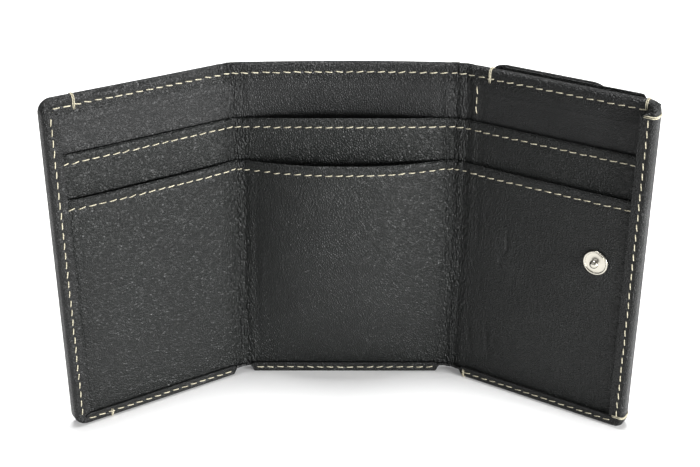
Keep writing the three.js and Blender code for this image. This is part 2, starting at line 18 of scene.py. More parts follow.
import bmesh
import bpy
import numpy as np
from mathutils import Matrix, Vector

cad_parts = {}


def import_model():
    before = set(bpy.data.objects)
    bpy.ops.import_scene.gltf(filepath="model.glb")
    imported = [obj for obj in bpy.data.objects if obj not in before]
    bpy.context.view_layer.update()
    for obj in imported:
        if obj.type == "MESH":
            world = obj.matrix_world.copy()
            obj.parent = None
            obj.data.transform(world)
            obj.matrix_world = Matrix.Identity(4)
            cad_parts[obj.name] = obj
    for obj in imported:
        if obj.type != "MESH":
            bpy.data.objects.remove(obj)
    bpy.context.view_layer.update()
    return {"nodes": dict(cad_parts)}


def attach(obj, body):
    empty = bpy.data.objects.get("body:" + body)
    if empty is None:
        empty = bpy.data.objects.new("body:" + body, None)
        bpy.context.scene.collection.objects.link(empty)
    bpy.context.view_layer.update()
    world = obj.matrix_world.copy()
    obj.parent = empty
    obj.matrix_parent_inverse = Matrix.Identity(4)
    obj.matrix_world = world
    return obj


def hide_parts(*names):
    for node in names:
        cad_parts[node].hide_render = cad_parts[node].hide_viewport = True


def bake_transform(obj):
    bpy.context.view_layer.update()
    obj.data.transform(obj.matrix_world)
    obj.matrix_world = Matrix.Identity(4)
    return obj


LOG = logging.getLogger("wallet")
MM = 0.001
Array = np.ndarray


class Side(Enum):
    """The two halves of the wallet, by the sign of u."""

    LEFT = -1
    RIGHT = 1


class Sheet(Enum):
    """The leather sheets, from the outside in."""

    SHELL = "shell"
    LINING = "lining"
    DIVIDER = "divider"
    FRONT = "front_pocket"


# Shape of the folded leather


def fade(x: Array, low: float, high: float) -> Array:
    """Smooth step: 0 below low, 1 above high, and 3t^2 - 2t^3 between them.

    Args:
        x: where to read it.
        low: start of the step.
        high: end of the step.

    Returns:
        The step's height at each x.
    """
    t = np.clip((np.asarray(x, float) - low) / (high - low), 0.0, 1.0)
    return t * t * (3.0 - 2.0 * t)


@dataclass(frozen=True)
class Form:
    """The folded shape that all the leather sheets share."""

    height: float = 107.0
    half_centre: float = 32.0
    left_reach: float = 58.5
    right_reach: float = 59.5
    left_depth: float = 8.2
    right_depth: float = 11.825
    angle: float = math.radians(33.0)
    hem_middle: float = 1.65
    bottom_border: float = 3.8
    side_border: float = 4.7
    divider_top: float = 89.5
    front_top: float = 76.0
    shell_belly: float = -1.2
    divider_belly: float = 3.8
    front_belly: float = 8.4
    left_belly: float = 1.2
    right_belly: float = 0.5
    divider_part: float = 0.2
    left_blend_margin: float = 3.6
    right_blend_margin: float = 4.4

    def depth(self, side: Side) -> float:
        """Distance from the panels' wall plane to the fold's axis."""
        return self.left_depth if side is Side.LEFT else self.right_depth

    def reach(self, side: Side) -> float:
        """Length of a side panel from its fold's axis to its free edge."""
        return self.left_reach if side is Side.LEFT else self.right_reach

    def fold_end(self, side: Side) -> float:
        """The |u| at which a fold's arc ends and the flat side panel begins."""
        return self.half_centre + self.angle * self.depth(side)

    def fold_middle(self, side: Side) -> float:
        """The |u| in the middle of a fold's arc."""
        return self.half_centre + 0.5 * self.angle * self.depth(side)

    def edge(self, side: Side) -> float:
        """The |u| of a panel's free edge."""
        return self.fold_end(side) + self.reach(side)

    def along(self, side: Side, end: float) -> Array:
        """Steps of |u| from the middle to an end, finer at the fold's creases and the side seam."""
        coarse, medium, fine = 0.9, 0.45, 0.36
        creased = 7.0 if side is Side.LEFT else 21.0
        near = self.fold_middle(side) - 7.0
        far = self.fold_middle(side) + creased
        seam = end - 8.0
        parts = ((0.0, near, coarse), (near, far, fine), (far, seam, coarse), (seam, end, medium))
        steps = [columns([a, b], pitch)[:-1] for a, b, pitch in parts]
        return np.concatenate([*steps, np.array([end])])

    def notch(self, u: Array) -> Array:
        """1 where the bottom border is cut away at a fold, 0 elsewhere, with short ramps."""
        size = np.abs(u)
        fold = np.where(np.asarray(u) < 0, self.fold_end(Side.LEFT), self.fold_end(Side.RIGHT))
        start = fade(size, self.half_centre - 1.9, self.half_centre - 0.6)
        return start * (1.0 - fade(size - fold, 1.6, 2.9))

    def ripple(self, u: Array, z: Array) -> Array:
        """Soft creases that all the sheets share.

        Each fold has a few upright folds of the leather, a sine across u under a bell curve, whose
        phase drifts with height, and a crinkled skin of short fine wrinkles, a sine of 1.45 mm that
        wanders and fades with height. Two slow waves run over the whole wallet.

        Args:
            u: distance along the wallet.
            z: height.

        Returns:
            The shift in n, in millimetres.
        """
        total = 0.10 * np.sin(u / 17.0 + z / 29.0) * np.sin(z / 23.0 + 1.3)
        total += 0.06 * np.sin(u / 7.3 - z / 11.0 + 0.7)
        for side, pitch, tall, phase in ((Side.LEFT, 3.1, 0.20, 0.4), (Side.RIGHT, 3.7, 0.24, 1.9)):
            middle = side.value * self.fold_middle(side)
            across = (u - middle + 0.9 * np.sin(z / 19.0 + phase)) / pitch
            bell = np.exp(-(((u - middle) / 6.5) ** 2))
            strength = 0.45 + 0.55 * np.sin(z / 31.0 + phase) ** 2
            total += tall * bell * strength * np.sin(2.0 * math.pi * across / 1.25)
            wander = u + 0.5 * np.sin(z / 2.1 + phase) + 0.25 * np.sin(z / 0.9)
            fading = 0.5 + 0.5 * np.sin(z / 1.6 + 1.7 * u + phase)
            skin = np.sin(2.0 * math.pi * wander / 1.45) * fading
            total += 0.15 * skin * np.exp(-(((u - middle) / 4.6) ** 2))
        keep = fade(z, 1.0, 9.0)
        return total * (0.25 + 0.75 * keep)

    def rise(self, z: Array, mouth: float) -> Array:
        """0 at the bottom seam and 1 at a sheet's mouth, growing as 1 - (1 - t)^3."""
        low = np.clip((z - self.bottom_border) / (mouth - self.bottom_border), 0.0, 1.0)
        return 1.0 - (1.0 - low) ** 3

    def share(self, u: Array, z: Array, mouth: float) -> Array:
        """How far the centre panel's pocket stands open at a point, from 0 at its seams to 1.

        Args:
            u: distance along the wallet.
            z: height.
            mouth: height of the sheet's top edge.

        Returns:
            The share of the sheet's belly on the centre panel.
        """
        across = np.clip(1.0 - np.abs(u / self.half_centre) ** 2.4, 0.0, None) ** 1.25
        return across * self.rise(z, mouth)

    def belly(self, sheet: Sheet, u: Array, z: Array) -> Array:
        """How far a sheet stands out towards the viewer from its flat place, in millimetres."""
        if sheet in (Sheet.SHELL, Sheet.LINING):
            return self.shell_belly * self.share(u, z, self.height)
        mouth, centre, part = self.front_top, self.front_belly, 1.0
        if sheet is Sheet.DIVIDER:
            mouth, centre, part = self.divider_top, self.divider_belly, self.divider_part
        out = centre * self.share(u, z, mouth)
        for side, tall in ((Side.LEFT, self.left_belly), (Side.RIGHT, self.right_belly)):
            along = (side.value * u - self.fold_end(side)) / (self.reach(side) - self.side_border)
            flat = np.clip(1.0 - np.abs(2.0 * along - 1.0) ** 6, 0.0, None)
            out = out + part * tall * flat * self.rise(z, mouth) * (along > 0)
        return out

    def place(self, u: Array, n: Array, z: Array) -> Array:
        """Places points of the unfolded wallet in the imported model's frame.

        Up to the middle panel's ends a point keeps u as its x. Past them it goes round the fold's
        axis on an arc of radius depth - n through the opening angle, then straight on.

        Args:
            u: distance along the wallet, in millimetres.
            n: depth towards the inside.
            z: height.

        Returns:
            Points in metres, with a last axis of three.
        """
        u, n, z = np.broadcast_arrays(*(np.asarray(a, float) for a in (u, n, z)))
        hand = np.where(u < 0, -1.0, 1.0)
        depth = np.where(u < 0, self.left_depth, self.right_depth)
        past = np.abs(u) - self.half_centre
        turn = np.clip(past / depth, 0.0, self.angle)
        run = np.clip(past - self.angle * depth, 0.0, None)
        flat = np.minimum(np.abs(u), self.half_centre)
        x = hand * (flat + (depth - n) * np.sin(turn) + run * np.cos(turn))
        y = self.hem_middle - depth + (depth - n) * np.cos(turn) - run * np.sin(turn)
        return np.stack([x, y, z], axis=-1) * MM


FORM = Form()


# Meshes


def columns(stops: Sequence[float], pitch: float) -> Array:
    """Even steps of about a pitch between each two stops, with every stop kept."""
    parts = [
        np.linspace(a, b, max(2, int(round(abs(b - a) / pitch)) + 1))[:-1]
        for a, b in zip(stops, stops[1:])
    ]
    return np.concatenate(parts + [np.array([stops[-1]])])


def grid_faces(rows: int, cols: int, start: int = 0) -> Array:
    """The quads of a grid of rows by cols vertices, as an array of four indices each."""
    r, c = np.meshgrid(np.arange(rows - 1), np.arange(cols - 1), indexing="ij")
    a = start + r * cols + c
    return np.stack([a, a + 1, a + cols + 1, a + cols], axis=-1).reshape(-1, 4)


def make_mesh(
    name: str,
    points: Array,
    faces: Array,
    caps: Sequence[Array] = (),
    sharp: float = 60.0,
) -> bpy.types.Object:
    """Makes a smooth-shaded mesh object, with doubles merged and its faces turned outwards.

    Args:
        name: the piece's name.
        points: vertices in metres.
        faces: quads.
        caps: loops of vertex indices, each closed by one flat face.
        sharp: edges that turn more than this many degrees stay sharp.

    Returns:
        The object, linked to the scene.
    """
    mesh = bpy.data.meshes.new(name)
    polygons = [tuple(f) for f in faces.tolist()] + [tuple(c.tolist()) for c in caps]
    mesh.from_pydata(points.reshape(-1, 3).tolist(), [], polygons)
    work = bmesh.new()
    work.from_mesh(mesh)
    bmesh.ops.remove_doubles(work, verts=work.verts, dist=1e-6)
    bmesh.ops.dissolve_degenerate(work, edges=work.edges, dist=1e-7)
    bmesh.ops.recalc_face_normals(work, faces=work.faces)
    work.to_mesh(mesh)
    work.free()
    mesh.shade_smooth()
    mesh.set_sharp_from_angle(angle=math.radians(sharp))
    piece = bpy.data.objects.new(name, mesh)
    bpy.context.scene.collection.objects.link(piece)
    return piece


def plate(
    name: str, outer: Array, inner: Array, bulge: float = 0.5, butt: int | None = None
) -> bpy.types.Object:
    """A sheet with rounded edges between two grids of the same size.

    Round its border the two faces are joined by a rim of three rows, which stand out from the mean
    of the two borders by a half circle, 1 - cos, of the sheet's thickness.

    Args:
        name: the piece's name.
        outer: rows by columns by three, in metres.
        inner: the other face, matched point by point.
        bulge: how far the rim stands out, as a share of the thickness.
        butt: the row whose rim stays flat, where two halves meet.

    Returns:
        The piece.
    """
    rows, cols = outer.shape[:2]
    index = np.arange(rows * cols).reshape(rows, cols)
    border = np.concatenate(
        [index[0, :-1], index[:-1, -1], index[-1, :0:-1], index[:0:-1, 0]]
    )
    step = np.concatenate(
        [index[1, :-1], index[:-1, -2], index[-2, :0:-1], index[:0:-1, 1]]
    )
    out, back = outer.reshape(-1, 3), inner.reshape(-1, 3)
    edge_out, edge_in = out[border], back[border]
    away = edge_out - out[step] + edge_in - back[step]
    away /= np.maximum(np.linalg.norm(away, axis=1, keepdims=True), 1e-9)
    if butt is not None:
        by_vertex = np.zeros((rows * cols, 3))
        by_vertex[border] = away
        inner_row = 1 if butt == 0 else rows - 2
        by_vertex[index[butt]] = 0.0
        for col in (0, -1):
            by_vertex[index[butt, col]] = by_vertex[index[inner_row, col]]
        away = by_vertex[border]
    thick = np.linalg.norm(edge_out - edge_in, axis=1, keepdims=True)
    rims = []
    for part in (0.15, 0.5, 0.85):
        swing = math.sin(math.pi * part)
        rims.append(edge_out + (edge_in - edge_out) * part + away * thick * bulge * swing)
    count = len(border)
    points = np.concatenate([out, back, *rims])
    ring = np.arange(count)
    after = np.roll(ring, -1)
    base = 2 * rows * cols
    loops = [border, base + ring, base + count + ring, base + 2 * count + ring]
    loops.append(rows * cols + border)
    sides = [
        np.stack([a[ring], a[after], b[after], b[ring]], axis=-1) for a, b in zip(loops, loops[1:])
    ]
    faces = np.concatenate(
        [grid_faces(rows, cols), grid_faces(rows, cols, rows * cols)[:, ::-1], *sides]
    )
    return make_mesh(name, points, faces)


def revolve(
    name: str,
    profile: Sequence[tuple[float, float]],
    centre: Array,
    axis: Array,
    segments: int = 48,
) -> bpy.types.Object:
    """Turns a closed profile of (radius, height) points in millimetres about an axis.

    Point (r, h) goes to centre + h along the axis + r (cos a, sin a) across it.

    Args:
        name: the piece's name.
        profile: the closed profile, each point once.
        centre: where height 0 is on the axis, in metres.
        axis: direction in which the height grows.
        segments: steps round the axis.

    Returns:
        The piece.
    """
    line = np.array(list(profile) + [profile[0]], float) * MM
    axis = np.asarray(axis, float) / np.linalg.norm(axis)
    side = np.cross(axis, [0.0, 0.0, 1.0])
    side /= np.linalg.norm(side)
    up = np.cross(side, axis)
    turn = np.linspace(0.0, 2.0 * math.pi, segments + 1)
    ring = np.cos(turn)[:, None] * side + np.sin(turn)[:, None] * up
    points = centre + line[None, :, 1, None] * axis + line[None, :, 0, None] * ring[:, None, :]
    return make_mesh(name, points, grid_faces(segments + 1, len(line)), sharp=50.0)


# Materials


def linear(code: str) -> tuple[float, float, float, float]:
    """Turns an sRGB hex colour into linear RGBA.

    Args:
        code: six hex digits with a leading hash.

    Returns:
        Linear red, green, blue and an alpha of 1.
    """
    channels = np.array([int(code[i : i + 2], 16) for i in (1, 3, 5)]) / 255.0
    low = channels <= 0.04045
    lit = np.where(low, channels / 12.92, ((channels + 0.055) / 1.055) ** 2.4)
    return (*(float(c) for c in lit), 1.0)


def add_node(
    tree: bpy.types.NodeTree, kind: str, settings: dict | None = None, **inputs: object
) -> bpy.types.Node:
    """Adds a node, sets it and links it.

    Args:
        tree: the node tree.
        kind: the node's type name.
        settings: properties of the node itself.
        **inputs: socket name, with spaces as underscores, to a value or to a socket to link.

    Returns:
        The node.
    """
    node = tree.nodes.new(kind)
    for key, value in (settings or {}).items():
        setattr(node, key, value)
    for key, value in inputs.items():
        name = key.replace("_", " ")
        socket = node.inputs[int(name[1:])] if name[1:].isdigit() else node.inputs[name]
        if isinstance(value, bpy.types.NodeSocket):
            tree.links.new(value, socket)
        else:
            socket.default_value = value
    return node


def noise(
    tree: bpy.types.NodeTree, where: bpy.types.NodeSocket, size_mm: float, detail: float
) -> bpy.types.NodeSocket:
    """Noise from 0 to 1 with features of about a size in millimetres."""
    scale = 1.0 / (size_mm * MM)
    node = add_node(tree, "ShaderNodeTexNoise", Vector=where, Scale=scale, Detail=detail)
    return node.outputs["Fac"]


def cell_edges(
    tree: bpy.types.NodeTree, where: bpy.types.NodeSocket, scale: float
) -> bpy.types.NodeSocket:
    """Distance from the edges of random cells, in cell widths."""
    settings = {"feature": "DISTANCE_TO_EDGE"}
    node = add_node(tree, "ShaderNodeTexVoronoi", settings, Vector=where, Scale=scale)
    return node.outputs["Distance"]


def remap(
    tree: bpy.types.NodeTree,
    value: bpy.types.NodeSocket,
    source: tuple[float, float],
    target: tuple[float, float] = (0.0, 1.0),
    smooth: bool = False,
) -> bpy.types.NodeSocket:
    """Maps a value from a source range to a target range, on a smooth step if asked."""
    node = add_node(
        tree,
        "ShaderNodeMapRange",
        {"interpolation_type": "SMOOTHSTEP"} if smooth else None,
        Value=value,
        From_Min=source[0],
        From_Max=source[1],
        To_Min=target[0],
        To_Max=target[1],
    )
    return node.outputs["Result"]


def math_node(tree: bpy.types.NodeTree, operation: str, *terms: object) -> bpy.types.NodeSocket:
    """The result of a Math node over values or sockets."""
    inputs = {f"i{index}": term for index, term in enumerate(terms)}
    return add_node(tree, "ShaderNodeMath", {"operation": operation}, **inputs).outputs["Value"]


def bumped(
    tree: bpy.types.NodeTree, height: bpy.types.NodeSocket, strength: float, depth_mm: float
) -> bpy.types.NodeSocket:
    """The normal of a surface with a relief of about a depth in millimetres."""
    node = add_node(
        tree, "ShaderNodeBump", Strength=strength, Distance=depth_mm * MM, Height=height
    )
    return node.outputs["Normal"]


def object_place(tree: bpy.types.NodeTree) -> bpy.types.NodeSocket:
    """Object coordinates, in metres."""
    return add_node(tree, "ShaderNodeTexCoord").outputs["Object"]


def ramp(
    tree: bpy.types.NodeTree, value: bpy.types.NodeSocket, stops: Sequence[tuple[float, str]]
) -> bpy.types.NodeSocket:
    """A colour ramp over a value, with sRGB hex stops."""
    node = add_node(tree, "ShaderNodeValToRGB", Fac=value)
    elements = node.color_ramp.elements
    while len(elements) < len(stops):
        elements.new(0.5)
    for element, (at, code) in zip(elements, stops):
        element.position = at
        element.color = linear(code)
    return node.outputs["Color"]


def new_material(name: str) -> tuple[bpy.types.Material, bpy.types.NodeTree, bpy.types.NodeSocket]:
    """A blank node material, its tree and its surface socket."""
    material = bpy.data.materials.new(name)
    material.use_nodes = True
    tree = material.node_tree
    tree.nodes.clear()
    output = add_node(tree, "ShaderNodeOutputMaterial")
    return material, tree, output.inputs["Surface"]


@dataclass(frozen=True)
class GrainedLeather:
    """Drum-dyed cowhide with a pressed fine grain and a thin acrylic finish.

    The real grain's cells are about 0.5 mm across, and are drawn 0.7 mm wide so that they show.
    They break the highlight into small glints. The colour follows the same fine noise that raises
    the grain: it is lighter on the raised spots as painted glints, and darker between them as painted
    shade. It is also a little lighter in the slow patches that hands have rubbed, where the finish
    is shinier.
    """

    name: str
    dark: str
    middle: str
    light: str
    roughness: float
    cell_mm: float = 0.7
    fine_mm: float = 0.55
    patch_mm: float = 14.0
    depth_mm: float = 0.15
    bump: float = 1.0
    gloss: float = 0.31

    def make(self) -> bpy.types.Material:
        """Builds the material: cells and fine noise for the grain and its painted glints, slow noise
        for the patches.
        """
        material, tree, surface = new_material(self.name)
        where = object_place(tree)
        cells = cell_edges(tree, where, 1.0 / (self.cell_mm * MM))
        crown = remap(tree, cells, (0.0, 0.34), smooth=True)
        fine = noise(tree, where, self.fine_mm, 3.0)
        rubbed = noise(tree, where, self.patch_mm, 5.0)
        grain = math_node(tree, "MULTIPLY_ADD", fine, 1.1, crown)
        height = self.crinkled(tree, where, grain)
        # Colour from the grain's fine noise: painted glints on its raised spots, painted shade between
        # them, and a little of the slow rubbed patches.
        glints_and_tone = math_node(tree, "MULTIPLY_ADD", rubbed, 0.3, fine)
        colour = ramp(tree, glints_and_tone, [(0.48, self.dark), (0.65, self.middle), (0.85, self.light)])
        duller, shinier = self.roughness + 0.06, self.roughness - 0.06
        shader = add_node(
            tree,
            "ShaderNodeBsdfPrincipled",
            Base_Color=colour,
            Roughness=remap(tree, rubbed, (0.35, 0.65), (duller, shinier)),
            IOR=1.48,
            Specular_IOR_Level=self.gloss,
            Normal=bumped(tree, height, self.bump, self.depth_mm),
        )
        tree.links.new(shader.outputs["BSDF"], surface)
        return material

    @staticmethod
    def crinkled(
        tree: bpy.types.NodeTree, where: bpy.types.NodeSocket, grain: bpy.types.NodeSocket
    ) -> bpy.types.NodeSocket:
        """Adds the folds' fine crinkles to the grain: slanted cells of about 1 by 3 mm.

        Args:
            tree: the material's nodes.
            where: Object coordinates.
            grain: the grain's height.

        Returns:
            The height of both, with the crinkles only where the "crinkle" attribute is above 0.
        """
        wide, tall = 1.0 / (0.95 * MM), 1.0 / (2.8 * MM)
        slanted = add_node(
            tree,
            "ShaderNodeMapping",
            Vector=where,
            Rotation=(0.0, 0.16, 0.0),
            Scale=(wide, wide, tall),
        ).outputs["Vector"]
        ridges = remap(tree, cell_edges(tree, slanted, 1.0), (0.0, 0.3), smooth=True)
        worn = add_node(tree, "ShaderNodeAttribute", {"attribute_name": "crinkle"}).outputs["Fac"]
        masked = math_node(tree, "MULTIPLY", ridges, worn)
        return math_node(tree, "MULTIPLY_ADD", masked, 2.2, grain)


@dataclass(frozen=True)
class SpunThread:
    """Bonded polyester sewing thread, three plies twisted together.

    The plies are about 0.2 mm wide and give each stitch fine slanted lines. The bump raises them, and
    their colour is painted lighter on the crests and darker between them, as painted highlight and
    painted shade.
    """

    name: str
    dark: str
    light: str

    def make(self) -> bpy.types.Material:
        """Builds the thread's material."""
        material, tree, surface = new_material(self.name)
        where = object_place(tree)
        plies = add_node(
            tree,
            "ShaderNodeTexWave",
            {"bands_direction": "DIAGONAL"},
            Vector=where,
            Scale=1.0 / (1.6 * MM),
            Distortion=2.0,
        ).outputs["Fac"]
        # Painted highlight on the plies' crests and painted shade in the grooves between them, plus a
        # slow noise that varies the tone at random.
        ply_shade_and_tone = math_node(tree, "MULTIPLY_ADD", plies, 0.35, noise(tree, where, 2.4, 2.0))
        shader = add_node(
            tree,
            "ShaderNodeBsdfPrincipled",
            Base_Color=ramp(tree, ply_shade_and_tone, [(0.35, self.dark), (0.8, self.light)]),
            Roughness=0.62,
            Normal=bumped(tree, plies, 0.5, 0.08),
            Sheen_Weight=0.2,
        )
        tree.links.new(shader.outputs["BSDF"], surface)
        return material


@dataclass(frozen=True)
class NickelPlate:
    """Bright nickel on stamped brass, polished in a barrel, so slightly uneven under the gloss."""

    name: str
    tint: str
    roughness: float

    def make(self) -> bpy.types.Material:
        """Builds the plated metal's material."""
        material, tree, surface = new_material(self.name)
        worn = noise(tree, object_place(tree), 1.8, 4.0)
        shader = add_node(
            tree,
            "ShaderNodeBsdfPrincipled",
            Base_Color=linear(self.tint),
            Metallic=1.0,
            Roughness=remap(tree, worn, (0.0, 1.0), (self.roughness - 0.06, self.roughness + 0.10)),
            Normal=bumped(tree, worn, 0.15, 0.05),
        )
        tree.links.new(shader.outputs["BSDF"], surface)
        return material


@dataclass
class Finishes:
    """Every finish of the wallet, each made once."""

    outer: bpy.types.Material = field(
        default_factory=lambda: GrainedLeather(
            "grained_cowhide", "#080909", "#0e0f0f", "#191b1a", 0.41
        ).make()
    )
    pocket: bpy.types.Material = field(
        default_factory=lambda: GrainedLeather(
            "grained_pocket_cowhide", "#090a0a", "#0f1110", "#1a1c1b", 0.42
        ).make()
    )
    lining: bpy.types.Material = field(
        default_factory=lambda: GrainedLeather(
            "split_leather_lining", "#0d0e0e", "#131414", "#1c1d1d", 0.48, cell_mm=0.6, bump=0.7
        ).make()
    )
    thread: bpy.types.Material = field(
        default_factory=lambda: SpunThread("bonded_polyester_thread", "#857f6b", "#bfb8a0").make()
    )
    nickel: bpy.types.Material = field(
        default_factory=lambda: NickelPlate("nickel_plated_brass", "#bdb9ae", 0.20).make()
    )


def dress(
    piece: bpy.types.Object, material: bpy.types.Material
) -> bpy.types.Object:
    """Gives a piece its material."""
    piece.data.materials.clear()
    piece.data.materials.append(material)
    LOG.info("made %s with %s", piece.name, material.name)
    return piece


def mark_crinkles(piece: bpy.types.Object) -> None:
    """Marks where the leather is crinkled: at the folds, and faintly beside the right one.

    The mark is a sum of bell curves over x, each given by its middle, width and height.
    """
    mesh = piece.data
    points = np.empty(3 * len(mesh.vertices))
    mesh.vertices.foreach_get("co", points)
    x = points[0::3] / MM
    spots = ((-33.5, 4.2, 1.0), (34.5, 4.4, 1.0), (45.0, 5.0, 0.10))
    worn = sum(tall * np.exp(-(((x - middle) / width) ** 2)) for middle, width, tall in spots)
    mesh.attributes.new("crinkle", "FLOAT", "POINT").data.foreach_set("value", worn)


def bend_with_fold(piece: bpy.types.Object) -> None:
    """Bakes a piece's transform into its mesh."""
    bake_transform(piece)


# Stitches


def stitch_row(
    name: str,
    place: Callable[[Array, Array, Array], Array],
    path: Array,
    level: Callable[[Array, Array], Array],
    lean: float = 0.12,
    length: float = 2.75,
    width: float = 0.36,
) -> bpy.types.Object:
    """A row of lockstitches, each a short thread that dives into the leather at both ends.

    Along a stitch t runs from -1 to 1. The thread's middle lies at 0.12 - 0.36 t^4 above the
    leather and its round section shrinks as 1 - 0.75 t^6 towards the holes. Each stitch leans and
    sits a little differently, by a seeded draw.

    Args:
        name: the row's name.
        place: turns (a, n, z) into metres.
        path: stitches by two by two, the start and end of each as (a, z).
        level: depth n of the leather's face at (a, z).
        lean: turn of each stitch out of the row's line, in radians.
        length: length between its holes.
        width: the thread's width.

    Returns:
        The piece.
    """
    middle = path.mean(axis=1)
    along = path[:, 1] - path[:, 0]
    along /= np.linalg.norm(along, axis=1, keepdims=True)
    draw = np.random.default_rng(len(middle))
    turn = lean + 0.045 * draw.standard_normal(len(middle))
    cos, sin = np.cos(turn), np.sin(turn)
    run, rise = along[:, 0], along[:, 1]
    along = np.stack([run * cos - rise * sin, run * sin + rise * cos], 1)
    middle = middle + 0.05 * draw.standard_normal(middle.shape)
    across = np.stack([-along[:, 1], along[:, 0]], 1)
    t = np.linspace(-1.0, 1.0, 7)
    around = np.linspace(0.0, 2.0 * math.pi, 7)
    t, around = np.meshgrid(t, around, indexing="ij")
    size = 0.5 * width * (1.0 - 0.75 * np.abs(t) ** 6)
    lift = 0.12 - 0.36 * t**4 + size * np.sin(around)
    wide = size * np.cos(around)
    flat = (
        middle[:, None, None, :]
        + along[:, None, None, :] * (0.5 * length * t)[None, :, :, None]
        + across[:, None, None, :] * wide[None, :, :, None]
    )
    a, z = flat[..., 0], flat[..., 1]
    base = level(middle[:, 0], middle[:, 1])[:, None, None]
    points = place(a, base + lift[None], z)
    rows, cols = t.shape
    faces = np.concatenate(
        [grid_faces(rows, cols, k * rows * cols) for k in range(len(middle))]
    )
    caps = []
    for k in range(len(middle)):
        first = k * rows * cols
        caps.append(first + np.arange(cols - 1)[::-1])
        caps.append(first + (rows - 1) * cols + np.arange(cols - 1))
    return make_mesh(name, points, faces, caps, sharp=80.0)


def thread(name: str, line: Array, across: Array, width: float = 0.30) -> bpy.types.Object:
    """A round thread along a line of points.

    Each ring is a point of the line + a radius times (cos a across + sin a up), where up is square
    to the line and to across. The radius is half the width and shrinks to a fifth at both ends.

    Args:
        name: the thread's name.
        line: points in metres.
        across: unit directions square to the line, one or one for each point.
        width: the thread's width in millimetres.

    Returns:
        The piece.
    """
    way = np.gradient(line, axis=0)
    across = np.broadcast_to(across, line.shape)
    up = np.cross(way, across)
    up /= np.linalg.norm(up, axis=1, keepdims=True)
    turn = np.linspace(0.0, 2.0 * math.pi, 9)[None, :, None]
    ring = np.cos(turn) * across[:, None, :] + np.sin(turn) * up[:, None, :]
    t = np.linspace(-1.0, 1.0, len(line))[:, None, None]
    points = line[:, None, :] + 0.5 * width * MM * (1.0 - 0.8 * t**8) * ring
    rows, cols = points.shape[:2]
    caps = [np.arange(cols - 1)[::-1], (rows - 1) * cols + np.arange(cols - 1)]
    return make_mesh(name, points, grid_faces(rows, cols), caps)


def along_line(start: Sequence[float], end: Sequence[float], pitch: float = 3.15) -> Array:
    """Stitches at an even pitch from a start to an end point, each as its two ends."""
    a, b = np.array(start, float), np.array(end, float)
    count = max(1, int(round(np.linalg.norm(b - a) / pitch)))
    middle = a + (b - a) * ((np.arange(count) + 0.5) / count)[:, None]
    half = (b - a) / np.linalg.norm(b - a) * 0.5 * pitch
    return np.stack([middle - half, middle + half], axis=1)


# The leather sheets


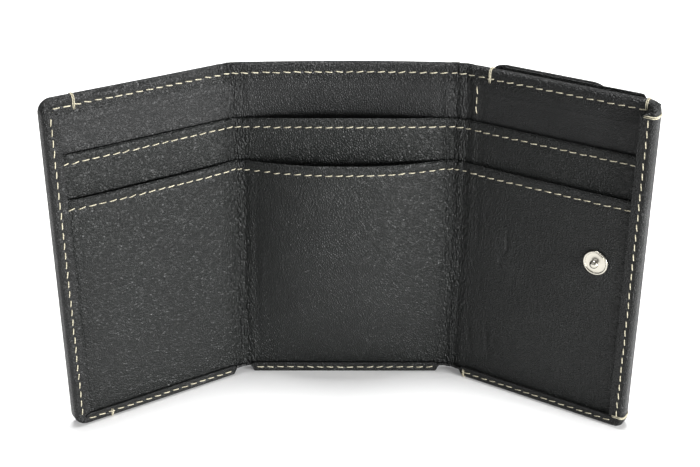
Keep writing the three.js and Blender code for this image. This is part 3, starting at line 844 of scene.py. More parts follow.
@dataclass
class PocketSheet:
    """One of the sheets inside the wallet: the lining, the divider or the front pocket."""

    sheet: Sheet
    back: float
    ply: float
    top: float
    hem: float
    material: bpy.types.Material
    slot: str
    thread: bpy.types.Material | None = None
    stitch_drop: float = 2.7
    arch: float = 1.2
    foot: float = 1.3
    notch_lift: float = 1.5

    def face(self, u: Array, z: Array) -> Array:
        """Depth n of the sheet's front face.

        It is the flat sheet's depth plus its belly and the shared creases, less a groove with the
        shape of a bell curve where the hem's stitches pull the leather in.
        """
        hem = 0.0 if self.thread is None else 1.0
        groove = 0.14 * np.exp(-(((z - self.top + self.stitch_drop) / 0.75) ** 2))
        swollen = 0.10 * np.exp(-(((z - self.top + 1.1) / 0.8) ** 2))
        out = FORM.belly(self.sheet, u, z) + FORM.ripple(u, z) + self.marks(u, z)
        return self.back + self.ply + out + hem * (swollen - groove)

    def marks(self, u: Array, z: Array) -> Array:
        """Creases and imprints of this sheet alone, in millimetres.

        Low ridges with the section of a bell curve follow the side seams and, on the lining, the
        top seam, where the edges of the layers beneath press through. The right half of the front
        pocket has long creases, grooves that wander with height and come and go.

        Args:
            u: distance along the wallet.
            z: height.

        Returns:
            The shift in n.
        """
        out = np.zeros(np.broadcast(u, z).shape)
        for side in Side:
            run = side.value * u - FORM.fold_end(side)
            seam = FORM.reach(side) - FORM.side_border - 1.4
            out += 0.12 * np.exp(-(((run - seam) / 0.5) ** 2))
        if self.sheet is Sheet.LINING:
            out += 0.12 * np.exp(-(((z - self.top + 7.2) / 0.45) ** 2))
        if self.sheet is not Sheet.FRONT:
            return out
        run = u - FORM.fold_end(Side.RIGHT)
        for near, far, deep in ((11.2, 16.2, 0.30), (4.2, 5.6, 0.20), (7.4, 9.0, 0.10)):
            path = near + (far - near) * fade(z, 18.0, 62.0)
            path = path + 0.7 * np.sin(z / 3.4 + near) + 0.35 * np.sin(z / 1.3)
            strength = np.clip(np.sin(z / 5.5 + near), 0.0, 1.0) * fade(z, 8.0, 16.0)
            out -= deep * strength * np.exp(-(((run - path) / 0.42) ** 2))
        return out

    def rear(self, u: Array, z: Array) -> Array:
        """Depth n of the sheet's back face, a little further back behind the turned hem."""
        turned = self.hem * fade(z, self.top - 8.4, self.top - 7.6)
        return self.back - turned + FORM.belly(self.sheet, u, z) + FORM.ripple(u, z)

    def lifted(self, u: Array, z: Array) -> Array:
        """Height of a point after the middle of the sheet's mouth is drawn up a little."""
        return z + self.arch * FORM.share(u, z, self.top)

    def build(self) -> None:
        """Builds the sheet's two halves and the stitches of its hem."""
        for side in Side:
            u = side.value * FORM.along(side, FORM.edge(side) - self.foot)
            hem = self.top - 9.0
            z = np.concatenate(
                [columns([self.foot, hem], 1.15)[:-1], columns([hem, self.top - 0.4], 0.42)]
            )
            uu, zz = np.meshgrid(u, z, indexing="ij")
            zz = zz + self.notch_lift * FORM.notch(uu) * (1.0 - fade(zz, self.foot, 9.0))
            high = self.lifted(uu, zz)
            outer = FORM.place(uu, self.face(uu, zz), high)
            inner = FORM.place(uu, self.rear(uu, zz), high)
            name = side.name.lower() + "_" + self.sheet.value
            piece = plate(name + "_leather", outer, inner, butt=0)
            dress(piece, self.material)
            mark_crinkles(piece)
            kind = self.sheet.value
            nodes = [name, f"{side.name.lower()}_fold_{kind}", f"centre_{kind}"]
            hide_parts(*nodes)
            bend_with_fold(piece)
            if self.thread is not None:
                self.sew(side)

    def sew(self, side: Side) -> None:
        """Sews the hem below the sheet's top edge."""
        z = self.top - self.stitch_drop
        end = FORM.edge(side) - FORM.side_border + 0.4
        path = along_line((0.0, z), (side.value * end, z))
        row = stitch_row(
            f"{side.name.lower()}_{self.sheet.value}_stitches",
            lambda a, n, h: FORM.place(a, n, self.lifted(a, h)),
            path,
            self.face,
            lean=0.10,
        )
        dress(row, self.thread)
        bend_with_fold(row)


@dataclass
class OuterShell:
    """The outer leather: the outside wall with its edges turned over onto the inside."""

    material: bpy.types.Material
    thread: bpy.types.Material
    ply: float = 0.9
    base: float = 4.0
    top_thick: float = 1.8
    side_thick: float = 4.2
    top_border: float = 5.6
    bottom_border: float = 3.8
    roll: float = 1.5
    skin: float = 0.82
    groove: float = 0.16
    top_line: float = 3.0
    side_line: float = 2.3
    bottom_line: float = 2.1

    def stations(self, side: Side) -> dict[str, Array]:
        """The stations round a half's edge, from the middle of the top to the middle of the bottom.

        Each has a base point (u, z) on the outside wall's border, an outward direction, the
        distance to the edge, the border's width and the depth of its inner face. At a corner the
        base stays put and the direction turns through a right angle.

        Args:
            side: which half.

        Returns:
            Arrays with one entry for each station.
        """
        end = FORM.edge(side) - self.base
        u = FORM.along(side, end)
        z = columns([FORM.height - self.base, self.base], 1.3)
        fan = np.linspace(0.0, math.pi / 2.0, 17)[1:-1]
        along, round_corner, down = len(u), len(fan), len(z)
        high, low, quarter = FORM.height - self.base, self.base, math.pi / 2.0
        base_u = np.concatenate([u, np.full(2 * round_corner + down, end), u[::-1]])
        base_z = np.concatenate(
            [np.full(along + round_corner, high), z, np.full(round_corner + along, low)]
        )
        turn = np.concatenate(
            [np.zeros(along), fan, np.full(down, quarter), quarter + fan, np.full(along, math.pi)]
        )
        way_u, way_z = np.sin(turn), np.cos(turn)
        power = 2.0 if side is Side.LEFT else 2.6
        corner = (np.abs(way_u) ** power + np.abs(way_z) ** power) ** (-1.0 / power)
        reach = self.base * corner
        is_side = fade(turn, 0.0, quarter)
        is_bottom = (turn > quarter + 1e-6).astype(float)
        thick = self.top_thick + (self.side_thick - self.top_thick) * np.maximum(is_side, is_bottom)
        lower = fade(turn, quarter, math.pi)
        border = self.top_border + (FORM.side_border - self.top_border) * is_side
        border = border + (self.bottom_border - border) * lower
        notch = FORM.notch(base_u * side.value) * (turn > math.pi - 1e-6)
        reach = reach - 2.0 * notch
        border = border * (1.0 - notch) + 0.7 * notch
        return {
            "u": base_u * side.value,
            "z": base_z,
            "way_u": way_u * side.value,
            "way_z": way_z,
            "reach": reach,
            "border": border,
            "thick": thick,
            "turn": turn,
        }

    def profile(self, at: dict[str, Array], inset: float) -> tuple[Array, Array]:
        """The turned edge's section at every station, as outward distance and depth n.

        From the wall the leather runs out, goes round the edge on two quarter ellipses of the
        roll's radius, and comes back over the inside by the border's width.

        Args:
            at: the stations.
            inset: how far this face lies inside the leather's outside face.

        Returns:
            Two arrays, stations by points along the section.
        """
        t = np.linspace(0.0, math.pi / 2.0, 6)
        reach, thick = at["reach"][:, None], at["thick"][:, None]
        roll = np.minimum(self.roll, 0.5 * (thick + self.ply)) - 0.5 * inset
        low, high = -self.ply + inset, thick - inset
        far = reach - inset
        first = (far - roll) * np.array([[0.0, 0.5]])
        out_a = far - roll + roll * np.sin(t)
        n_a = low + roll * (1.0 - np.cos(t))
        out_b = far - roll + roll * np.cos(t)
        n_b = high - roll * (1.0 - np.sin(t))
        back = far - roll + (reach - at["border"][:, None] - far + roll) * np.linspace(0.15, 1.0, 7)
        out = np.concatenate([first, out_a, out_b, back], axis=1)
        flat_low = low * np.ones_like(first)
        flat_high = high * np.ones_like(back)
        depth = np.concatenate([flat_low, n_a, n_b, flat_high], axis=1)
        return out, depth

    def lay(self, at: dict[str, Array], out: Array, depth: Array) -> Array:
        """Places section points, with the wall's bow, the shared creases and the stitches' groove."""
        u = at["u"][:, None] + at["way_u"][:, None] * out
        z = at["z"][:, None] + at["way_z"][:, None] * out
        from_edge = at["reach"][:, None] - out
        line = np.where(at["turn"] < 0.4, self.top_line, self.bottom_line)[:, None]
        inside = (depth > 0.5 * at["thick"][:, None]).astype(float)
        outside = (depth < -0.2).astype(float)
        groove = np.exp(-(((from_edge - line) / 0.7) ** 2)) * self.groove
        swollen = np.exp(-(((from_edge - 0.5 * line - 0.3) / 0.9) ** 2)) * 0.06
        pleats = 0.14 * np.sin(17.0 * at["turn"]) * np.sin(2.0 * at["turn"]) ** 2
        n = depth + (swollen - groove + pleats[:, None]) * inside - (swollen - groove) * outside
        n = n + FORM.belly(Sheet.SHELL, u, z) + FORM.ripple(u, z)
        return FORM.place(u, n, z)

    def face(self, u: Array, z: Array, thick: float) -> Array:
        """Depth n of the turned border's face, where the stitches lie."""
        return thick - self.groove + FORM.belly(Sheet.SHELL, u, z) + FORM.ripple(u, z)

    def outside_face(self, u: Array, z: Array) -> Array:
        """Distance out of the wall's outside face, where the stitches lie."""
        return -(self.groove - self.ply + FORM.belly(Sheet.SHELL, u, z) + FORM.ripple(u, z))

    @staticmethod
    def place_outside(u: Array, out: Array, z: Array) -> Array:
        """Places a point whose depth is counted outwards."""
        return FORM.place(u, -out, z)

    def build(self) -> None:
        """Builds both halves of the outer leather and all its stitches."""
        for side in Side:
            self.build_half(side)
            self.sew(side)
        left, right = FORM.edge(Side.LEFT), FORM.edge(Side.RIGHT)
        fold = FORM.fold_end(Side.RIGHT)
        up, across, down = 0.0, math.pi / 2.0, math.pi
        for lock in (
            ("left_top_lock", Side.LEFT, up, left - 10.2, 4.6),
            ("left_bottom_lock", Side.LEFT, down, left - 12.0, 3.2),
            ("fold_top_lock", Side.RIGHT, up, fold + 7.0, 4.8),
            ("fold_bottom_lock", Side.RIGHT, down, fold + 3.6, 3.4),
            ("right_top_lock", Side.RIGHT, up, right - self.base, 3.2),
            ("right_upper_lock", Side.RIGHT, across, 102.9, 4.2),
            ("right_lower_lock", Side.RIGHT, across, 4.1, 4.2),
        ):
            self.wrap(*lock)

    def wrap(self, name: str, side: Side, turn: float, where: float, inner: float) -> None:
        """Two threads taken over the edge, side by side, where a seam starts or is locked.

        Args:
            name: the start of the threads' names.
            side: which half.
            turn: outward direction of the edge, 0 for the top and pi for the bottom.
            where: |u| on the top and bottom edges, z on the side edge.
            inner: how far from the edge they reach inside.
        """
        at = self.stations(side)
        upright = abs(turn - math.pi / 2.0) < 1e-6
        run = at["z"] if upright else at["u"] * side.value
        pick = int(np.argmin(np.abs(run - where) + 1e3 * (np.abs(at["turn"] - turn) > 1e-6)))
        one = {key: value[pick : pick + 1].copy() for key, value in at.items()}
        proud, outer_reach, apart = 0.12, 2.6, 0.44
        out, depth = self.profile(one, -proud)
        reach = np.where(depth > 0.5 * one["thick"], inner, outer_reach)
        keep = (one["reach"] - out <= reach)[0]
        across = FORM.place(one["u"] + np.array([0.0, 1.0]), 0.0, 0.0)
        across = (across[1] - across[0]) / np.linalg.norm(across[1] - across[0])
        for index, step in enumerate((-0.5 * apart, 0.5 * apart)):
            moved = dict(one)
            key = "z" if upright else "u"
            moved[key] = one[key] + step
            line = self.lay(moved, out[:, keep], depth[:, keep])[0]
            piece = thread(f"{name}_{index}", line, np.array([0.0, 0.0, 1.0]) if upright else across)
            dress(piece, self.thread)
            bend_with_fold(piece)

    def build_half(self, side: Side) -> None:
        """Builds one half as a closed skin: outside wall, turned edge, inner face and cut edges."""
        at = self.stations(side)
        out, depth = self.profile(at, 0.0)
        outer = self.lay(at, out, depth)
        out_in, depth_in = self.profile(at, self.skin)
        inner = self.lay(at, out_in, depth_in)
        loop = np.concatenate([outer, inner[:, ::-1]], axis=1)
        stations, steps = loop.shape[:2]
        end = FORM.edge(side) - self.base
        u = FORM.along(side, end)
        z = columns([FORM.height - self.base, self.base], 1.3)
        uu, zz = np.meshgrid(u * side.value, z, indexing="ij")
        sway = FORM.belly(Sheet.SHELL, uu, zz) + FORM.ripple(uu, zz)
        wall = FORM.place(uu, -self.ply + sway, zz)
        inside = FORM.place(uu, self.skin - self.ply + sway, zz)
        count, size = stations * steps, len(u) * len(z)
        points = np.concatenate([loop.reshape(-1, 3), wall.reshape(-1, 3), inside.reshape(-1, 3)])
        faces = np.concatenate(
            [
                grid_faces(stations, steps),
                grid_faces(len(u), len(z), count),
                grid_faces(len(u), len(z), count + size),
            ]
        )
        first, last = np.arange(steps), (stations - 1) * steps + np.arange(steps)[::-1]
        column = count + np.arange(1, len(z) - 1)
        cap = np.concatenate([first[::-1], column, last[::-1], (size + column)[::-1]])
        piece = make_mesh(side.name.lower() + "_shell_leather", points, faces, [cap])
        dress(piece, self.material)
        mark_crinkles(piece)
        name = side.name.lower()
        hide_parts(f"{name}_shell", f"{name}_fold_shell", "centre_shell")
        bend_with_fold(piece)

    def sew(self, side: Side) -> None:
        """Sews the top, side and bottom borders, with the same stitches showing outside."""
        name = side.name.lower()
        edge = FORM.edge(side)
        fold = FORM.fold_end(side)
        top, low = FORM.height - self.top_line, self.bottom_line
        far, hand = edge - self.side_line, side.value
        rows = {
            "top_border": (self.top_thick, [((0.0, top), (far - 1.2, top))]),
            "side_border": (self.side_thick, [((far, FORM.height - 4.4), (far, 3.6))]),
            "bottom_border": (
                self.side_thick,
                [
                    ((0.0, low), (FORM.half_centre - 2.2, low)),
                    ((fold + 3.6, low), (far - 1.6, low)),
                ],
            ),
        }
        for row, (thick, lines) in rows.items():
            path = np.concatenate(
                [along_line((u0 * hand, z0), (u1 * hand, z1)) for (u0, z0), (u1, z1) in lines]
            )
            faces = {
                "inner": (FORM.place, partial(self.face, thick=thick)),
                "outer": (self.place_outside, self.outside_face),
            }
            for face, (place, level) in faces.items():
                title = f"{name}_{row}_{face}_stitches"
                piece = stitch_row(title, place, path, level, lean=0.12 * hand)
                dress(piece, self.thread)
                bend_with_fold(piece)


# Side hardware


@dataclass(frozen=True)
class SideFrame:
    """The flat frame of a side panel, measured from its fold's axis."""

    side: Side

    def point(self, s: Array, n: Array, z: Array) -> Array:
        """Places (s, n, z) of the side panel in metres, where s starts at the fold's axis."""
        return FORM.place(self.side.value * (FORM.fold_end(self.side) + np.asarray(s, float)), n, z)

    def inward(self) -> Array:
        """Unit direction towards the inside of the wallet, square to the panel."""
        a = self.point(np.array([20.0, 20.0]), np.array([0.0, 10.0]), np.array([50.0, 50.0]))
        step = a[1] - a[0]
        return step / np.linalg.norm(step)


@dataclass
class Snaps:
    """The stud and socket that close the wallet, and the smaller pair under the coin flap."""

    nickel: bpy.types.Material
    height: float = 54.5
    stud_s: float = 45.7
    socket_s: float = 18.3
    flap_s: float = 31.5
    front_face: float = 3.1
    outside_face: float = 0.95
    pocket_face: float = 6.2
    flap_face: float = 7.65

    @staticmethod
    def stud_profile() -> list[tuple[float, float]]:
        """A dished flange with a rolled rim, and a ball on a short neck."""
        ball = [
            (1.35 * math.cos(a), 1.45 + 1.0 * math.sin(a))
            for a in np.linspace(-0.75, math.pi / 2 - 0.001, 10)
        ]
        rim = [
            (3.55 + 0.35 * math.cos(a), 0.28 + 0.27 * math.sin(a))
            for a in np.linspace(-math.pi / 2, math.pi, 12)
        ]
        return [(0.0, 0.0), (2.4, 0.0), *rim, (2.9, 0.20), (2.2, 0.24), (1.5, 0.34), (1.02, 0.6), *ball]

    @staticmethod
    def socket_profile(tall: float) -> list[tuple[float, float]]:
        """A domed ring with a rolled lip round a dark bore."""
        outer = [
            (4.9 - 0.9 * (1 - math.cos(a)), tall * 0.62 * math.sin(a))
            for a in np.linspace(0.0, math.pi / 2, 8)
        ]
        lip = [
            (2.45 + 0.5 * math.cos(a), tall * (0.78 + 0.22 * math.sin(a)))
            for a in np.linspace(0.3, math.pi, 10)
        ]
        return [(1.85, 0.0), (4.75, 0.0), *outer, (3.4, tall * 0.66), *lip, (1.85, tall * 0.5)]

    def build(self) -> None:
        """Builds the four snap halves."""
        right, left = SideFrame(Side.RIGHT), SideFrame(Side.LEFT)
        inward_r, inward_l = right.inward(), left.inward()
        bowed, proud = 0.9 * FORM.right_belly, 0.12
        face = self.front_face + bowed + proud
        stud = revolve(
            "closing_stud_metal",
            self.stud_profile(),
            right.point(self.stud_s, face, self.height),
            inward_r,
        )
        socket = revolve(
            "closing_socket_metal",
            self.socket_profile(1.4),
            left.point(self.socket_s, -self.outside_face, self.height),
            -inward_l,
        )
        flap_stud = revolve(
            "coin_flap_stud_metal",
            self.stud_profile(),
            right.point(self.flap_s, -self.pocket_face - 0.05, self.height),
            -inward_r,
        )
        flap_socket = revolve(
            "coin_flap_socket_metal",
            self.socket_profile(0.9),
            right.point(self.flap_s, -self.flap_face, self.height),
            inward_r,
        )
        for piece, body, node in (
            (stud, "right_panel", "closing_stud"),
            (socket, "left_panel", "closing_socket"),
            (flap_stud, "right_panel", "coin_flap_stud"),
            (flap_socket, "coin_flap", "coin_flap_socket"),
        ):
            dress(piece, self.nickel)
            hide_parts(node)
            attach(piece, body)


# Coin pocket


@dataclass
class CoinPocket:
    """The coin pocket on the outside of the right panel, with gussets and a snapped flap."""

    outer: bpy.types.Material
    pocket: bpy.types.Material
    lining: bpy.types.Material
    thread: bpy.types.Material
    frame: SideFrame = field(default_factory=lambda: SideFrame(Side.RIGHT))
    shell: float = 0.9
    wall_in: float = 5.4
    wall_ply: float = 0.8
    mouth: float = 7.6
    low: float = 1.2
    high: float = 105.8
    flap_base: float = 1.0
    flap_axis: float = 7.2
    flap_end: float = 42.0
    flap_bend: float = 2.5
    flap_low: float = 1.8
    flap_high: float = 105.2
    flap_gap: float = 0.8
    lining_ply: float = 0.6
    filling: float = 1.3
    cover_ply: float = 0.8
    corner: float = 7.0
    seam_in: float = 2.4
    groove: float = 0.12

    def outward(self, s: Array, out: Array, z: Array) -> Array:
        """Places a point out from the panel's wall plane, on the outside of the wallet."""
        return self.frame.point(s, -np.asarray(out, float), z)

    def wall_height(self, s: Array) -> Array:
        """How far the pocket wall's inner face stands out at s: flat, then a smooth step down."""
        flange = FORM.right_reach - FORM.side_border
        drop = fade(s, flange - 3.4, flange)
        return self.wall_in + (self.shell + 0.1 - self.wall_in) * drop

    def wall_face(self, s: Array, z: Array) -> Array:
        """Distance out of the wall's outside face in its stitches' groove."""
        return self.wall_height(s) + self.wall_ply - self.groove

    def flap_face(self) -> float:
        """Distance from the panel's wall plane to the closed flap's outside face."""
        lining_near = self.wall_in + self.wall_ply + self.flap_gap
        return lining_near + self.lining_ply + self.filling + self.cover_ply

    def build(self) -> None:
        """Builds the wall, the gussets, the flap and their stitches."""
        self.build_wall()
        self.build_gussets()
        self.build_flap()

    def build_wall(self) -> None:
        """The pocket's outer wall, a sheet that steps down to the panel near its free edge."""
        end = FORM.right_reach - 1.4
        s = columns([self.mouth + 0.3, end - 9.5, end], 0.8)
        z = columns([self.low + 0.3, self.high - 0.3], 1.8)
        ss, zz = np.meshgrid(s, z, indexing="ij")
        wave = 0.08 * np.sin(ss / 6.0 + zz / 21.0) * fade(ss, 8.0, 20.0) * (1 - fade(ss, 40.0, 52.0))
        near = self.wall_height(ss) + wave
        pulled = self.groove * np.exp(-(((ss - self.mouth - 3.0) / 0.7) ** 2))
        piece = plate(
            "coin_pocket_wall_leather",
            self.outward(ss, near + self.wall_ply - pulled, zz),
            self.outward(ss, near, zz),
        )
        dress(piece, self.pocket)
        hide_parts("coin_pocket_wall")
        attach(piece, "right_panel")
        rows = {
            "mouth": ((self.mouth + 3.0, 6.0), (self.mouth + 3.0, 101.0)),
            "edge": ((end - 2.0, 2.4), (end - 2.0, 104.6)),
            "top": ((self.mouth + 2.0, self.high - 2.2), (end - 3.0, self.high - 2.2)),
            "bottom": ((self.mouth + 2.0, self.low + 2.2), (end - 3.0, self.low + 2.2)),
        }
        for row, (start, stop) in rows.items():
            path = along_line(start, stop)
            piece = stitch_row(f"coin_pocket_{row}_stitches", self.outward, path, self.wall_face)
            dress(piece, self.thread)
            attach(piece, "right_panel")

    def build_gussets(self) -> None:
        """The folded strips that close the pocket's top and bottom, each a soft V."""
        t = np.linspace(-1.0, 1.0, 25)
        dip = 8.0 * (1.0 - np.sqrt(t**2 + 0.02)) / (1.0 - math.sqrt(0.02))
        span = 0.5 * (self.wall_in - self.shell) - 0.35
        middle = 0.5 * (self.wall_in + self.shell)
        s = columns([self.mouth + 0.2, FORM.right_reach - 10.0], 1.6)
        for name, edge, up in (("top", self.high, 1.0), ("bottom", self.low, -1.0)):
            ss, tt = np.meshgrid(s, t, indexing="ij")
            deep = np.broadcast_to(dip, ss.shape)
            out = middle + span * tt
            face = self.outward(ss, out, edge - up * (deep + 0.2))
            shift = 0.28 * np.sign(tt) * np.abs(tt) ** 0.3
            rear = self.outward(ss, out - shift, edge - up * (deep - 0.35 + 0.2 * np.abs(tt)))
            piece = plate(f"coin_pocket_{name}_gusset_leather", face, rear, bulge=0.3)
            dress(piece, self.pocket)
            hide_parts(f"coin_pocket_{name}_gusset")
            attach(piece, "right_panel")

    def flap_path(self, inset: float) -> tuple[Array, Array]:
        """The flap's section from its seam over the bend to its free end.

        It runs out along the panel, up the riser, round a quarter circle about the flap's axis and
        straight on to the end.

        Args:
            inset: how far this face lies inside the flap's outside face.

        Returns:
            s and the distance out.
        """
        half_ply = 0.5 * self.cover_ply
        axis_out = self.flap_face() - half_ply - self.flap_bend
        radius = self.flap_bend + half_ply - inset
        riser = self.flap_axis - radius
        foot = self.shell + 0.1 + (self.cover_ply - inset)
        small = 0.9 + inset
        t = np.linspace(0.0, math.pi / 2.0, 7)
        start_s = np.linspace(self.flap_base, riser - small, 5)[:-1]
        turn_s = riser - small + small * np.sin(t)
        turn_o = foot + small * (1.0 - np.cos(t))
        rise_o = np.linspace(foot + small, axis_out, 5)[1:-1]
        bend = np.linspace(0.0, math.pi / 2.0, 11)
        bend_s = self.flap_axis - radius * np.cos(bend)
        bend_o = axis_out + radius * np.sin(bend)
        run = columns([self.flap_axis, self.flap_end - self.corner], 1.2)[1:-1]
        end = self.flap_end - self.corner * (1.0 - np.sin(np.linspace(0.0, math.pi / 2.0, 12)))
        s = np.concatenate([start_s, turn_s, np.full(len(rise_o), riser), bend_s, run, end])
        out = np.concatenate(
            [
                np.full(len(start_s), foot),
                turn_o,
                rise_o,
                bend_o,
                np.full(len(run) + len(end), axis_out + radius),
            ]
        )
        return s, out

    def flap_half(self, s: Array) -> Array:
        """Half the flap's height at s, less towards its rounded free corners."""
        past = np.clip((s - self.flap_end + self.corner) / self.corner, 0.0, 1.0)
        half = 0.5 * (self.flap_high - self.flap_low)
        return half - self.corner * (1.0 - np.sqrt(np.clip(1.0 - past**2, 0.0, 1.0)))

    def build_flap(self) -> None:
        """The flap's outer leather in one piece from seam to end, its lining and its stitches."""
        middle = 0.5 * (self.flap_high + self.flap_low)
        v = np.linspace(-1.0, 1.0, 61)
        faces = []
        for inset in (0.0, self.cover_ply):
            s, out = self.flap_path(inset)
            half = self.flap_half(s) - 0.3
            ss = np.broadcast_to(s[:, None], (len(s), len(v)))
            zz = middle + half[:, None] * v[None, :]
            edge = np.minimum(half[:, None] * (1.0 - np.abs(v))[None, :], self.flap_end - ss)
            depth = self.groove if inset == 0.0 else 0.0
            pulled = depth * np.exp(-(((edge - self.seam_in) / 0.7) ** 2))
            stands = np.broadcast_to(out[:, None], ss.shape) - pulled * (ss > self.flap_axis)
            faces.append(self.outward(ss, stands, zz))
        piece = plate("coin_flap_leather", faces[0], faces[1])
        dress(piece, self.outer)
        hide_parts("coin_flap_cover", "coin_flap_hinge")
        start = self.outward(np.array(self.flap_axis - 3.0), np.array(3.6), np.array(50.0))
        end = self.outward(np.array(self.flap_axis + 2.0), np.array(9.6), np.array(50.0))
        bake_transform(piece)
        self.line_flap(middle, v)
        self.sew_flap(middle)

    def line_flap(self, middle: float, v: Array) -> None:
        """The flap's lining, a soft plate under the outer leather with its edge turned in."""
        turned = 0.9
        fan = 1.0 - np.sin(np.linspace(0.0, math.pi / 2, 12))
        straight = columns([self.flap_axis + 0.8, self.flap_end - self.corner], 1.2)[:-1]
        rounded = self.flap_end - turned - (self.corner - turned) * fan
        s = np.concatenate([straight, rounded])
        half = self.flap_half(np.minimum(s + turned, self.flap_end - 0.02)) - turned
        ss = np.broadcast_to(s[:, None], (len(s), len(v)))
        zz = middle + half[:, None] * v[None, :]
        edge = np.minimum(half[:, None] * (1.0 - np.abs(v))[None, :], self.flap_end - turned - ss)
        near = self.wall_in + self.wall_ply + self.flap_gap + 0.15 + 0.5 * fade(edge, 3.2, 5.2)
        far = self.flap_face() - self.cover_ply - 0.1
        piece = plate(
            "coin_flap_lining_leather",
            self.outward(ss, np.full(ss.shape, far), zz),
            self.outward(ss, near, zz),
        )
        dress(piece, self.lining)
        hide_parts("coin_flap_lining")
        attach(piece, "coin_flap")

    def sew_flap(self, middle: float) -> None:
        """Sews round the flap's three free edges, and across its seam on the panel."""
        half = 0.5 * (self.flap_high - self.flap_low) - self.seam_in
        end = self.flap_end - self.seam_in
        turn = self.corner - self.seam_in
        fan = np.linspace(0.0, math.pi / 2.0, 4)[:-1] + math.pi / 12
        corner = np.stack([end - turn + turn * np.sin(fan), half - turn + turn * np.cos(fan)], 1)
        step = np.stack([np.cos(fan), -np.sin(fan)], 1) * 1.3
        top = np.stack([corner - step, corner + step], axis=1)
        flip = top * np.array([1.0, -1.0])
        lines = [
            along_line((self.flap_axis + 1.0, half), (end - turn, half)),
            top,
            along_line((end, half - turn), (end, -half + turn)),
            flip[:, ::-1],
            along_line((end - turn, -half), (self.flap_axis + 1.0, -half)),
        ]
        path = np.concatenate(lines) + np.array([0.0, middle])
        face = self.flap_face() - self.groove
        piece = stitch_row(
            "coin_flap_stitches", self.outward, path, lambda s, z: np.full(s.shape, face)
        )
        dress(piece, self.thread)
        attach(piece, "coin_flap")
        seam_at = self.flap_base + 1.3
        seam = along_line((seam_at, 4.0), (seam_at, 103.0))
        foot = self.shell + 0.1 + self.cover_ply - 0.05
        piece = stitch_row(
            "coin_flap_seam_stitches", self.outward, seam, lambda s, z: np.full(s.shape, foot)
        )
        dress(piece, self.thread)
        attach(piece, "right_panel")
        inside = FORM.fold_end(Side.RIGHT) + seam_at
        piece = stitch_row(
            "coin_flap_seam_inside_stitches",
            FORM.place,
            along_line((inside, 91.5), (inside, 100.8)),
            lambda u, z: 0.72 + FORM.belly(Sheet.LINING, u, z) + FORM.ripple(u, z),
        )
        dress(piece, self.thread)
        bend_with_fold(piece)


# Studio


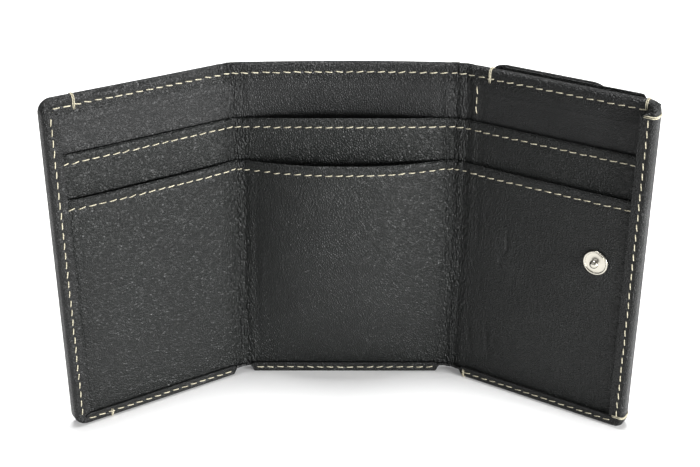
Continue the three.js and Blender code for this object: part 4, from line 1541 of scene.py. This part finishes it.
@dataclass
class Studio:
    """A pale floor, a white world, soft lamps and the camera."""

    camera_mm: tuple[float, float, float] = (1.7, -366.5, 229.1)
    tilt: float = math.radians(26.0)
    lens: float = 65.8

    def build(self) -> None:
        """Sets up the floor, the lamps, the world and the camera."""
        self.build_floor()
        self.build_world()
        self.add_lamp("key_lamp", (0.70, -0.54, 0.11), (0.50, 0.18), 18.0)
        self.add_lamp("fill_lamp", (-0.60, -0.55, 0.50), (0.60, 0.60), 0.8)
        self.add_lamp("top_lamp", (0.02, 0.14, 0.85), (0.42, 0.42), 12.5)
        self.build_camera()

    def build_floor(self) -> None:
        """A wide white floor that keeps the object's soft shadow. For the camera it also glows: a
        painted light that is weak round the wallet, so the floor stays greyer there, and that makes the
        floor plain white far away.
        """
        reach = 3.0
        points = reach * np.array([[-1, -1, 0], [1, -1, 0], [1, 1, 0], [-1, 1, 0]])
        mesh = bpy.data.meshes.new("floor")
        mesh.from_pydata(points.tolist(), [], [(0, 1, 2, 3)])
        floor = bpy.data.objects.new("floor", mesh)
        bpy.context.scene.collection.objects.link(floor)
        material, tree, surface = new_material("white_paper_floor")
        ray = add_node(tree, "ShaderNodeLightPath")
        diffuse = add_node(tree, "ShaderNodeBsdfDiffuse", Color=linear("#f4f4f4"))
        seen = ray.outputs["Is Camera Ray"]
        away = add_node(
            tree, "ShaderNodeVectorMath", {"operation": "LENGTH"}, i0=object_place(tree)
        ).outputs["Value"]
        # Painted light: a glow for camera rays that grows with the distance from the wallet's middle,
        # weak near the wallet and full far away.
        plain = remap(tree, away, (0.12, 0.8), (0.10, 1.0))
        glow = math_node(tree, "MULTIPLY", seen, plain)
        lift = add_node(tree, "ShaderNodeEmission", Color=linear("#ffffff"), Strength=glow)
        both = add_node(tree, "ShaderNodeAddShader", i0=diffuse.outputs[0], i1=lift.outputs[0])
        tree.links.new(both.outputs[0], surface)
        mesh.materials.append(material)

    def build_world(self) -> None:
        """White where the camera sees it, and a plain soft light on the object."""
        world = bpy.data.worlds.new("studio_white")
        bpy.context.scene.world = world
        world.use_nodes = True
        tree = world.node_tree
        tree.nodes.clear()
        ray = add_node(tree, "ShaderNodeLightPath")
        rays = ray.outputs["Is Camera Ray"], ray.outputs["Is Transmission Ray"]
        strength = remap(tree, math_node(tree, "MAXIMUM", *rays), (0.0, 1.0), (0.22, 1.0))
        light = add_node(
            tree, "ShaderNodeBackground", Color=linear("#ffffff"), Strength=strength
        )
        output = add_node(tree, "ShaderNodeOutputWorld")
        tree.links.new(light.outputs[0], output.inputs["Surface"])

    def add_lamp(
        self, name: str, at: tuple[float, float, float], size: tuple[float, float], watts: float
    ) -> None:
        """Adds a soft lamp that points at the wallet.

        Args:
            name: the lamp's name.
            at: its place in metres.
            size: width and height of its face in metres.
            watts: its power.
        """
        data = bpy.data.lights.new(name, "AREA")
        data.shape = "RECTANGLE"
        data.size, data.size_y = size
        data.energy = watts
        lamp = bpy.data.objects.new(name, data)
        lamp.location = at
        aim = Vector((0.0, -0.01, 0.05)) - Vector(at)
        lamp.rotation_euler = aim.to_track_quat("-Z", "Y").to_euler()
        bpy.context.scene.collection.objects.link(lamp)

    def build_camera(self) -> None:
        """The camera, level from side to side and tilted down."""
        data = bpy.data.cameras.new("camera")
        data.lens = self.lens
        data.sensor_width = 36.0
        data.clip_start = 0.01
        camera = bpy.data.objects.new("camera", data)
        camera.location = Vector(self.camera_mm) * MM
        camera.rotation_euler = (math.pi / 2 - self.tilt, 0.0, 0.0)
        bpy.context.scene.collection.objects.link(camera)
        bpy.context.scene.camera = camera
        bpy.context.scene.view_settings.view_transform = "Standard"


def main() -> None:
    """Builds the studio, then the wallet from the outside in, then its hardware."""
    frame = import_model()
    Studio().build()
    finish = Finishes()
    OuterShell(finish.outer, finish.thread).build()
    PocketSheet(
        Sheet.LINING,
        back=0.2,
        ply=0.5,
        top=105.9,
        hem=0.0,
        material=finish.lining,
        slot="lining_leather",
        arch=0.0,
    ).build()
    inner = {"hem": 0.25, "material": finish.pocket, "slot": "pocket_leather"}
    for sheet, back, ply, top in (
        (Sheet.DIVIDER, 1.15, 0.7, FORM.divider_top),
        (Sheet.FRONT, 2.3, 0.8, FORM.front_top),
    ):
        PocketSheet(sheet, back, ply, top, thread=finish.thread, **inner).build()
    Snaps(finish.nickel).build()
    CoinPocket(finish.outer, finish.pocket, finish.lining, finish.thread).build()
    for name in (
        "closing_stud_rivet",
        "closing_socket_rivet",
        "coin_flap_stud_rivet",
        "coin_flap_socket_rivet",
    ):
        node = frame["nodes"][name]
        node.data.materials.clear()
        node.data.materials.append(finish.nickel)
        LOG.info("dressed %s", name)
    bpy.context.view_layer.update()


if __name__ == "__main__":
    logging.basicConfig(level=logging.INFO, format="%(name)s: %(message)s")
    main()
